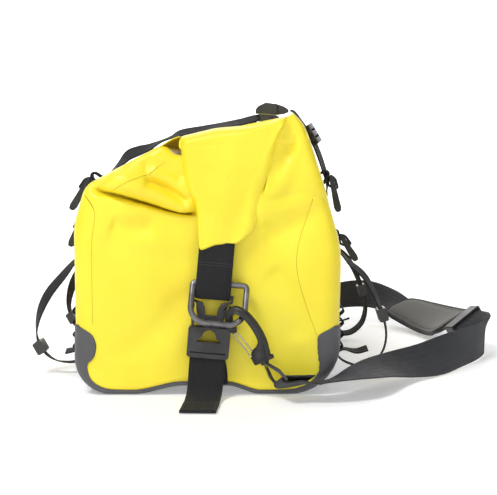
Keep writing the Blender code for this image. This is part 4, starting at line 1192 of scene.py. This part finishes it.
def hook_gate(name):
    """A sprung gate bent from one wire, two strands wide, from the hook's base to its nose."""
    tip_x, tip_z = GATE_TIP
    half = GATE_HALF
    lean = Vector((-math.sin(GATE_LEAN), math.cos(GATE_LEAN), 0))
    strand = [(tip_x * t, -half, tip_z * t) for t in (0, 0.40, 0.78)] + [(tip_x, -half * 0.95, tip_z)]
    nose_x, nose_z = tip_x * 1.1, tip_z + half * 0.75
    bend = [(nose_x, -half * 0.70, nose_z), (nose_x, 0, tip_z + half), (nose_x, half * 0.70, nose_z)]
    loop = [*strand, *bend, *((x, -y, z) for x, y, z in strand[::-1])]
    place = hook_place() @ Matrix.Translation((GATE_HINGE[0], 0, GATE_HINGE[1]))
    path = [Vector((x, 0, z)) + lean * y for x, y, z in smooth_route(loop, 5)]
    return wire(name, [place @ p for p in path], 0.0009, 10)


def cylinder(name, place, radius, low, high, sides=28, rim=0.0004):
    """A round boss along a frame's Y axis, with a small chamfer."""
    rings = []
    for y, r in ((low, radius - rim), (low + rim, radius), (high - rim, radius), (high, radius - rim)):
        turns = [math.tau * k / sides for k in range(sides)]
        rings.append([place @ Vector((r * math.cos(a), y, r * math.sin(a))) for a in turns])
    return tube(name, rings)


def gate_boss(name):
    """The boss on the hook's base that holds the two ends of the gate's wire."""
    place = hook_place() @ Matrix.Translation((GATE_HINGE[0] + 0.0008, 0, GATE_HINGE[1] - 0.0022))
    return cylinder(name, place, 0.0030, -0.0040, 0.0040)


def hook_collar(name):
    """The round collar on which the hook turns above its strap frame."""
    upright = Matrix.Rotation(math.radians(90), 4, "X")
    place = hook_place() @ Matrix.Translation((0.0005, 0, 0)) @ upright
    return cylinder(name, place, 0.0052, -0.0026, 0.0042)


def hooks():
    both_ends(hook, "hook_body", PLASTIC, "hook", "hook")
    both_ends(hook_gate, "gate_wire", STEEL, "gate", "hook_gate")
    both_ends(gate_boss, "gate_boss", PLASTIC, "hook")
    both_ends(hook_collar, "hook_collar", PLASTIC)
    bevelled_at_ends("hook_bail", 0.0008)


# ---- Shoulder strap: given route, with the roll of its width from level to upright ----

BAR_LOOP = [
    (0.035, 0.0032), (0.018, 0.0034), (0.006, 0.0037), (0.0, 0.0039), (-0.0036, 0.0016),
    (-0.0036, -0.0016), (0.0, -0.0039), (0.008, -0.0036), (0.02, -0.0022),
]
STRAP_ROUTE = [
    (0.127, -0.337, 0.0205, -7), (0.143, -0.334, 0.0222, -9), (0.164, -0.324, 0.024, -6),
    (0.188, -0.299, 0.0262, 8), (0.213, -0.252, 0.0238, 22), (0.245, -0.205, 0.0205, 36),
    (0.285, -0.165, 0.0205, 52), (0.325, -0.118, 0.025, 76), (0.36, -0.065, 0.026, 87),
    (0.38, -0.022, 0.0262, 90), (0.388, 0.003, 0.029, 95), (0.385, 0.021, 0.0365, 116),
    (0.3765, 0.039, 0.043, 145), (0.366, 0.056, 0.044, 150), (0.357, 0.08, 0.0385, 150),
    (0.354, 0.115, 0.0315, 147), (0.349, 0.155, 0.0275, 145), (0.34, 0.195, 0.0265, 147),
    (0.328, 0.233, 0.028, 152), (0.314, 0.268, 0.031, 158), (0.299, 0.298, 0.035, 160),
    (0.279, 0.328, 0.0425, 140), (0.25, 0.348, 0.049, 122), (0.215, 0.358, 0.047, 122),
    (0.182, 0.356, 0.037, 142), (0.154, 0.346, 0.027, 165), (0.127, 0.337, 0.0205, 173),
]
PAD_FIRST, PAD_LAST = 14, 20
PAD_WIDTH, PAD_THICKNESS, PAD_BINDING = 0.062, 0.0125, 0.0034
STRAP_STEPS = 8


def bail_loop(end):
    """The strap's loop round a hook frame's bar, and the direction of the bar."""
    bar_way = (BAIL_BAR_WAY - BAIL_UP * BAIL_BAR_WAY.dot(BAIL_UP)).normalized()
    centre = hook_place().translation - BAIL_UP * BAIL_BAR_DROP
    flip = Vector((1, -end, 1))
    bar, width = centre * flip, bar_way * flip
    along = width.cross(UP).normalized() * side_of(width.y)
    up = (UP - width * width.z).normalized()
    return [bar + along * a + up * b for a, b in BAR_LOOP], width


def strap_line():
    """The whole strap's route, headings and width directions, from cut end to cut end."""
    rows = smooth_route(STRAP_ROUTE, STRAP_STEPS)
    route = [row.to_3d() for row in rows]
    ways = headings(route)
    across = []
    for way, row in zip(ways, rows):
        level = Vector((-way.y, way.x, 0)).normalized()
        roll = math.radians(row.w)
        across.append(level * math.cos(roll) + UP * math.sin(roll))
    front, front_width = bail_loop(FRONT)
    rear, rear_width = bail_loop(REAR)
    front, rear = smooth_route(front, 5), smooth_route(rear, 5)[::-1]
    whole = [*front, *route, *rear]
    widths = [front_width] * len(front) + across + [-rear_width] * len(rear)
    return whole, headings(front) + ways + headings(rear), widths, len(front)


def shoulder_strap():
    """The whole strap, with its pad, slider and stitches."""
    route, ways, across, skipped = strap_line()
    strap = ribbon("shoulder_strap", route, across, SHOULDER_WEB, 0.0016, ways=ways, columns=14)
    finish_piece(strap, STRAP, ["shoulder_strap_front", "shoulder_strap_rear"])
    first = skipped + PAD_FIRST * STRAP_STEPS
    last = skipped + PAD_LAST * STRAP_STEPS + 1
    shoulder_pad(route[first:last], ways[first:last], across[first:last])
    bevelled("strap_slider", 0.0007)
    stitches, sewn = [], 9
    for run, sides, middle in ((route[:sewn], across[:sewn], 2), (route[-sewn:], across[-sewn:], -3)):
        normals = [(UP - side * side.z).normalized() for side in sides]
        stitches += seam(run, sides, normals, (-0.021, -0.007, 0.007, 0.021), lift=0.0009)
        ahead = (run[3] - run[1]).normalized()
        stitches += bar_tack(run[middle], sides[2], ahead, normals[2], 0.044, 0.0010)
    finish_piece(threads("strap_stitches", stitches), THREAD)


def shoulder_pad(route, ways, across):
    """A soft pad round the strap: mesh cloth faces, rounded, with a corded binding."""
    sides = [(a - w * a.dot(w)).normalized() for a, w in zip(across, ways)]
    ups = [side.cross(w) for side, w in zip(sides, ways)]
    along = distances(route)
    rings, uv, edge_left, edge_right = [], [], [], []
    columns, round_length = 20, 0.030
    for point, side, up, travelled in zip(route, sides, ups, along):
        share = min(travelled, along[-1] - travelled) / round_length
        taper = math.sqrt(max(0.0, 1 - (1 - min(1.0, share)) ** 2))
        half = PAD_WIDTH / 2 * (0.72 + 0.28 * taper)
        fat = PAD_THICKNESS / 2 * (0.55 + 0.45 * taper)
        loop = []
        for face in (1, -1):
            for k in range(columns + 1):
                s = -face * math.cos(math.pi * k / columns)
                swell = (1 - abs(s) ** 3.2) ** (1 / 2.4)
                rise = fat * swell - 0.0011 * hump(abs(s), 0.80, 0.05)
                loop.append(point + side * s * half + up * face * max(0.0012, rise))
                uv.append((s * half, travelled))
        rings.append(loop)
        edge_left.append(point + side * half)
        edge_right.append(point - side * half)
    obj = tube("pad", rings, uv)
    finish_piece(obj, PAD, ["shoulder_pad"])
    finish_piece(wire("pad_binding", edge_left + edge_right[::-1], PAD_BINDING, 12), WEB)
    for face, label in ((1, "inner"), (-1, "outer")):
        normals = [u * face for u in ups]
        rows = seam(route, sides, normals, (-0.0248, 0.0248), 0.0040, 0.0046)
        finish_piece(threads(f"pad_stitches_{label}", rows), THREAD)


# ---- Compression straps over the top ----

TOP_LEFT = [
    (-0.15, 0.2545, 0), (-0.14, 0.2575, 0), (-0.128, 0.2645, 4), (-0.115, 0.276, 18),
    (-0.104, 0.287, 32), (-0.091, 0.2925, 30), (-0.078, 0.297, 20), (-0.0634, 0.304, 8),
    (-0.05, 0.3095, 8), (-0.0367, 0.315, 20), (-0.0099, 0.3203, 17), (0.0143, 0.3245, 17),
    (0.0372, 0.3285, 20), (0.0545, 0.333, 20), (0.062, 0.3352, 14),
]
TOP_RIGHT = [
    (0.1005, 0.3425, 4), (0.104, 0.3405, 8), (0.1085, 0.334, 10), (0.1155, 0.323, 12),
    (0.1225, 0.3115, 14), (0.129, 0.299, 16), (0.1355, 0.283, 16), (0.142, 0.264, 14),
    (0.1462, 0.25, 8), (0.1475, 0.235, 0),
]
LADDER_AT = 0.3120


def leaning(points, y, width, lifted=False, steps=8):
    """A strap's route and width directions through (x, z, lean) points, its far edge leaning out.

    A lifted strap is raised by its lean, so that its near edge stays on the points.
    """
    rows = smooth_route(points, steps)
    route = [Vector((row.x, y, row.y)) for row in rows]
    across = []
    turned = side_of(headings(route)[0].cross(ALONG).x * rows[0].x)
    for k, (ahead, row) in enumerate(zip(headings(route), rows)):
        lean = math.radians(row.z)
        up = ahead.cross(ALONG) * turned
        across.append(ALONG * math.cos(lean) + up * math.sin(lean))
        if lifted:
            route[k] = route[k] + up * math.sin(lean) * width / 2
    return route, across


def top_strap(name, points, lifted):
    """A compression strap from the roll down one of the slopes."""
    route, across = leaning(points, -STATION_Y, STRAP_WEB, lifted)
    return ribbon(name, route, across, STRAP_WEB, cup=0.0004)


def ladder(name):
    """The ladder lock on the right strap: a frame with three bars that the webbing runs through."""
    route, across = leaning(TOP_RIGHT, -STATION_Y, STRAP_WEB, lifted=True)
    at = min(range(len(route)), key=lambda k: abs(route[k].z - LADDER_AT))
    ahead = headings(route)[at]
    side = (across[at] - ahead * across[at].dot(ahead)).normalized()
    out = side.cross(ahead)
    out *= side_of(out.x)
    place = frame_of(side, ahead, out, route[at])
    half_width, half_length, rail, half_bar = 0.0160, 0.0135, 0.004, 0.0037
    low, high = 0.0012, 0.0076
    bars = [(-half_width, -half_length, rail - half_width, half_length),
            (half_width - rail, -half_length, half_width, half_length)]
    for t in (-0.72, 0, 0.72):
        bars.append((-half_width, t * half_length - half_bar, half_width, t * half_length + half_bar))
    points, faces = [], []
    for x_low, y_low, x_high, y_high in bars:
        first = len(points)
        corners = [(x_low, y_low), (x_high, y_low), (x_high, y_high), (x_low, y_high)]
        points += [place @ Vector((x, y, z)) for z in (low, high) for x, y in corners]
        sides = [(k, (k + 1) % 4, (k + 1) % 4 + 4, k + 4) for k in range(4)]
        for face in [(3, 2, 1, 0), (4, 5, 6, 7), *sides]:
            faces.append(tuple(first + i for i in face))
    obj = add_mesh(name, points, faces)
    round_edges(obj, 0.0013, 3)
    return obj


def boxed_cross(name, points, y, width, lift):
    """A cross of stitches in a box where a strap is sewn down, through two (x, z) points."""
    a, b = (Vector((x, y, z)) for x, z in points)
    ahead = (b - a).normalized()
    normal = ahead.cross(ALONG)
    normal *= side_of(normal.x * a.x)
    half = ALONG * width / 2
    lines = [(a - half, a + half), (a + half, b + half), (b + half, b - half), (b - half, a - half),
             (a - half, b + half), (a + half, b - half)]
    stitches, pitch = [], 0.0032
    for start, stop in lines:
        count = max(2, round((stop - start).length / pitch))
        for k in range(count):
            middle = start.lerp(stop, (k + 0.5) / count) + normal * lift
            stitches.append((middle, (stop - start).normalized(), normal))
    return threads(name, stitches)


def top_straps():
    both_ends(top_strap, "top_web_left", WEB, node="top_strap_left", points=TOP_LEFT, lifted=False)
    both_ends(top_strap, "top_web_right", WEB, node="top_strap_right", points=TOP_RIGHT, lifted=True)
    both_ends(ladder, "top_ladder", PLASTIC)
    bevelled_at_ends("top_socket", 0.0010)
    bevelled_at_ends("top_plug", 0.0010)


# ---- Pull tabs: (name, hinge x, hinge z, lean from hanging straight down) ----

TABS = [
    ("left_shoulder_tab", -0.1545, 0.2575, -30),
    ("left_mid_tab", -0.164, 0.208, -22),
    ("right_shoulder_tab", 0.153, 0.26, 12),
    ("right_mid_tab", 0.1655, 0.185, 32),
]


def tab_loop(name, x, z):
    """A small webbing loop on the wall, through which a pull tab's cord runs."""
    side = side_of(x)
    places = [(0.013, -0.014), (0.007, -0.004), (0.0035, 0.0035), (0.0075, 0.0070), (0.016, 0.0020)]
    route = smooth_route([(x - side * inside, -STATION_Y, z + rise) for inside, rise in places], 6)
    return ribbon(name, route, [ALONG] * len(route), 0.016, 0.0034)


def tab_cord(name, x, z, lean):
    """The knotted cord loop in a pull tab's eye."""
    side = side_of(x)
    turn = math.radians(lean)
    down = Vector((side * abs(math.sin(turn)), 0, -math.cos(turn)))
    top = Vector((x, -STATION_Y, z))
    out = Vector((-down.z, 0, down.x)) * side
    places = [(-0.001, 0.0), (0.004, 0.0042), (0.011, 0.0050), (0.016, 0.0044), (0.011, -0.0048),
              (0.004, -0.0042)]
    path = smooth_route([top + down * a + out * b for a, b in [*places, places[0]]], 6)[:-1]
    return wire(name, path, 0.0017, 8)


def tabs():
    for label, x, z, lean in TABS:
        bevelled_at_ends(label, 0.0011, RUBBER)
        both_ends(tab_loop, f"{label}_loop", WEB, x=x, z=z)
        both_ends(tab_cord, f"{label}_cord", THREAD, label, x=x, z=z, lean=lean)


# ---- Side straps ----

LEFT_SIDE_STRAP = [
    (-0.1628, 0.172), (-0.169, 0.158), (-0.1815, 0.146), (-0.1934, 0.1317), (-0.213, 0.108),
    (-0.224, 0.088), (-0.23, 0.068), (-0.231, 0.05), (-0.226, 0.035), (-0.216, 0.023),
    (-0.203, 0.016), (-0.185, 0.0145), (-0.172, 0.019), (-0.1665, 0.026), (-0.1735, 0.031),
    (-0.185, 0.03), (-0.193, 0.0285),
]
RIGHT_SIDE_STRAP = [
    (0.1622, 0.166), (0.172, 0.156), (0.183, 0.144), (0.199, 0.13), (0.211, 0.111),
    (0.219, 0.093), (0.224, 0.078), (0.229, 0.06), (0.229, 0.042), (0.223, 0.025),
    (0.208, 0.012), (0.19, 0.01), (0.172, 0.017), (0.1655, 0.026), (0.173, 0.032),
    (0.19, 0.029), (0.205, 0.033),
]


# How far the side straps lean towards the front at each of their points, in degrees
LEFT_LEANS = [0, 6, 18, 30, 38, 34, 20, 8, 4, 6, 12, 16, 10, 0, 0, 10, 12]
RIGHT_LEANS = [0, 8, 18, 22, 20, 16, 10, 10, 12, 14, 16, 14, 10, 0, 0, 10, 14]


def side_strap(name, points, leans):
    """A side strap that bows out from the wall and turns back through its buckle."""
    leant = [(x, z, lean) for (x, z), lean in zip(points, leans)]
    route, across = leaning(leant, -SIDE_STRAP_Y, SIDE_WEB)
    return ribbon(name, route, across, SIDE_WEB, 0.0016, cup=0.0003)


def side_anchor(name, points):
    """The stitched end of a side strap against the wall."""
    return boxed_cross(name, points[:2], -SIDE_STRAP_Y, 0.013, 0.0010)


def wall_patch(name, top, bottom):
    """A fabric patch welded to the wall behind a strap's sewn end, between two (x, z) points."""
    ends = [Vector((x, -SIDE_STRAP_Y, z)) for x, z in (top, bottom)]
    rows = [ends[0].lerp(ends[1], k / 8) for k in range(9)]
    return ribbon(name, rows, [ALONG] * len(rows), 0.036, 0.0010)


def side_straps():
    straps = (("left", LEFT_SIDE_STRAP, LEFT_LEANS), ("right", RIGHT_SIDE_STRAP, RIGHT_LEANS))
    for side, points, leans in straps:
        name = f"{side}_side"
        both_ends(side_strap, f"{name}_web", WEB, node=f"{name}_strap", points=points, leans=leans)
        both_ends(side_anchor, f"{name}_stitches", THREAD, points=points)
        bevelled_at_ends(f"{name}_buckle", 0.0010)
    both_ends(wall_patch, "left_patch", GREY, top=(-0.1618, 0.192), bottom=(-0.1624, 0.152))
    both_ends(wall_patch, "right_patch", GREY, top=(0.1612, 0.188), bottom=(0.1612, 0.148))


# ---- Daisy chains on the front part of both walls ----

DAISY_LOOPS, DAISY_FOOT, DAISY_RISE, DAISY_PROUD = 4, 0.0450, 0.0145, 0.0070


def wall_x(side):
    """A function that gives the wall's x at a height."""
    points = outline([c[:3] for c in SECTION])

    def at(z):
        pairs = [(a, b) for a, b in zip(points, points[1:]) if min(a.y, b.y) <= z <= max(a.y, b.y)]
        found = [a.x + (b.x - a.x) * (z - a.y) / (b.y - a.y) for a, b in pairs if a.y != b.y]
        return side * max(side * x for x in found)

    return at


def daisy_chain(side, label):
    """Webbing tacked to the wall between standing loops, on one side of the front part."""
    wall = wall_x(side)
    points = []
    for k in range(2 * DAISY_LOOPS + 1):
        z = DAISY_FOOT + k * DAISY_RISE / 2
        out = DAISY_PROUD if k % 2 else 0.0014
        points.append((wall(z) + side * out, -DAISY_Y, z))
    route = smooth_route(points, 8)
    obj = ribbon(f"front_{label}_daisy_web", route, [ALONG] * len(route), SIDE_WEB)
    finish_piece(obj, WEB, [f"front_{label}_daisy_chain"])
    stitches = []
    for k in range(0, len(points), 2):
        stitches += bar_tack(Vector(points[k]), ALONG, UP, Vector((side, 0, 0)), 0.019)
    finish_piece(threads(f"front_{label}_daisy_tacks", stitches), PALE_THREAD)


def main():
    camera()
    shoulder_strap()
    studio()
    body()
    base_skin()
    seams()
    rolled_closure()
    flaps()
    closures()
    hooks()
    top_straps()
    tabs()
    side_straps()
    daisy_chain(-1, "left")
    daisy_chain(1, "right")


main()
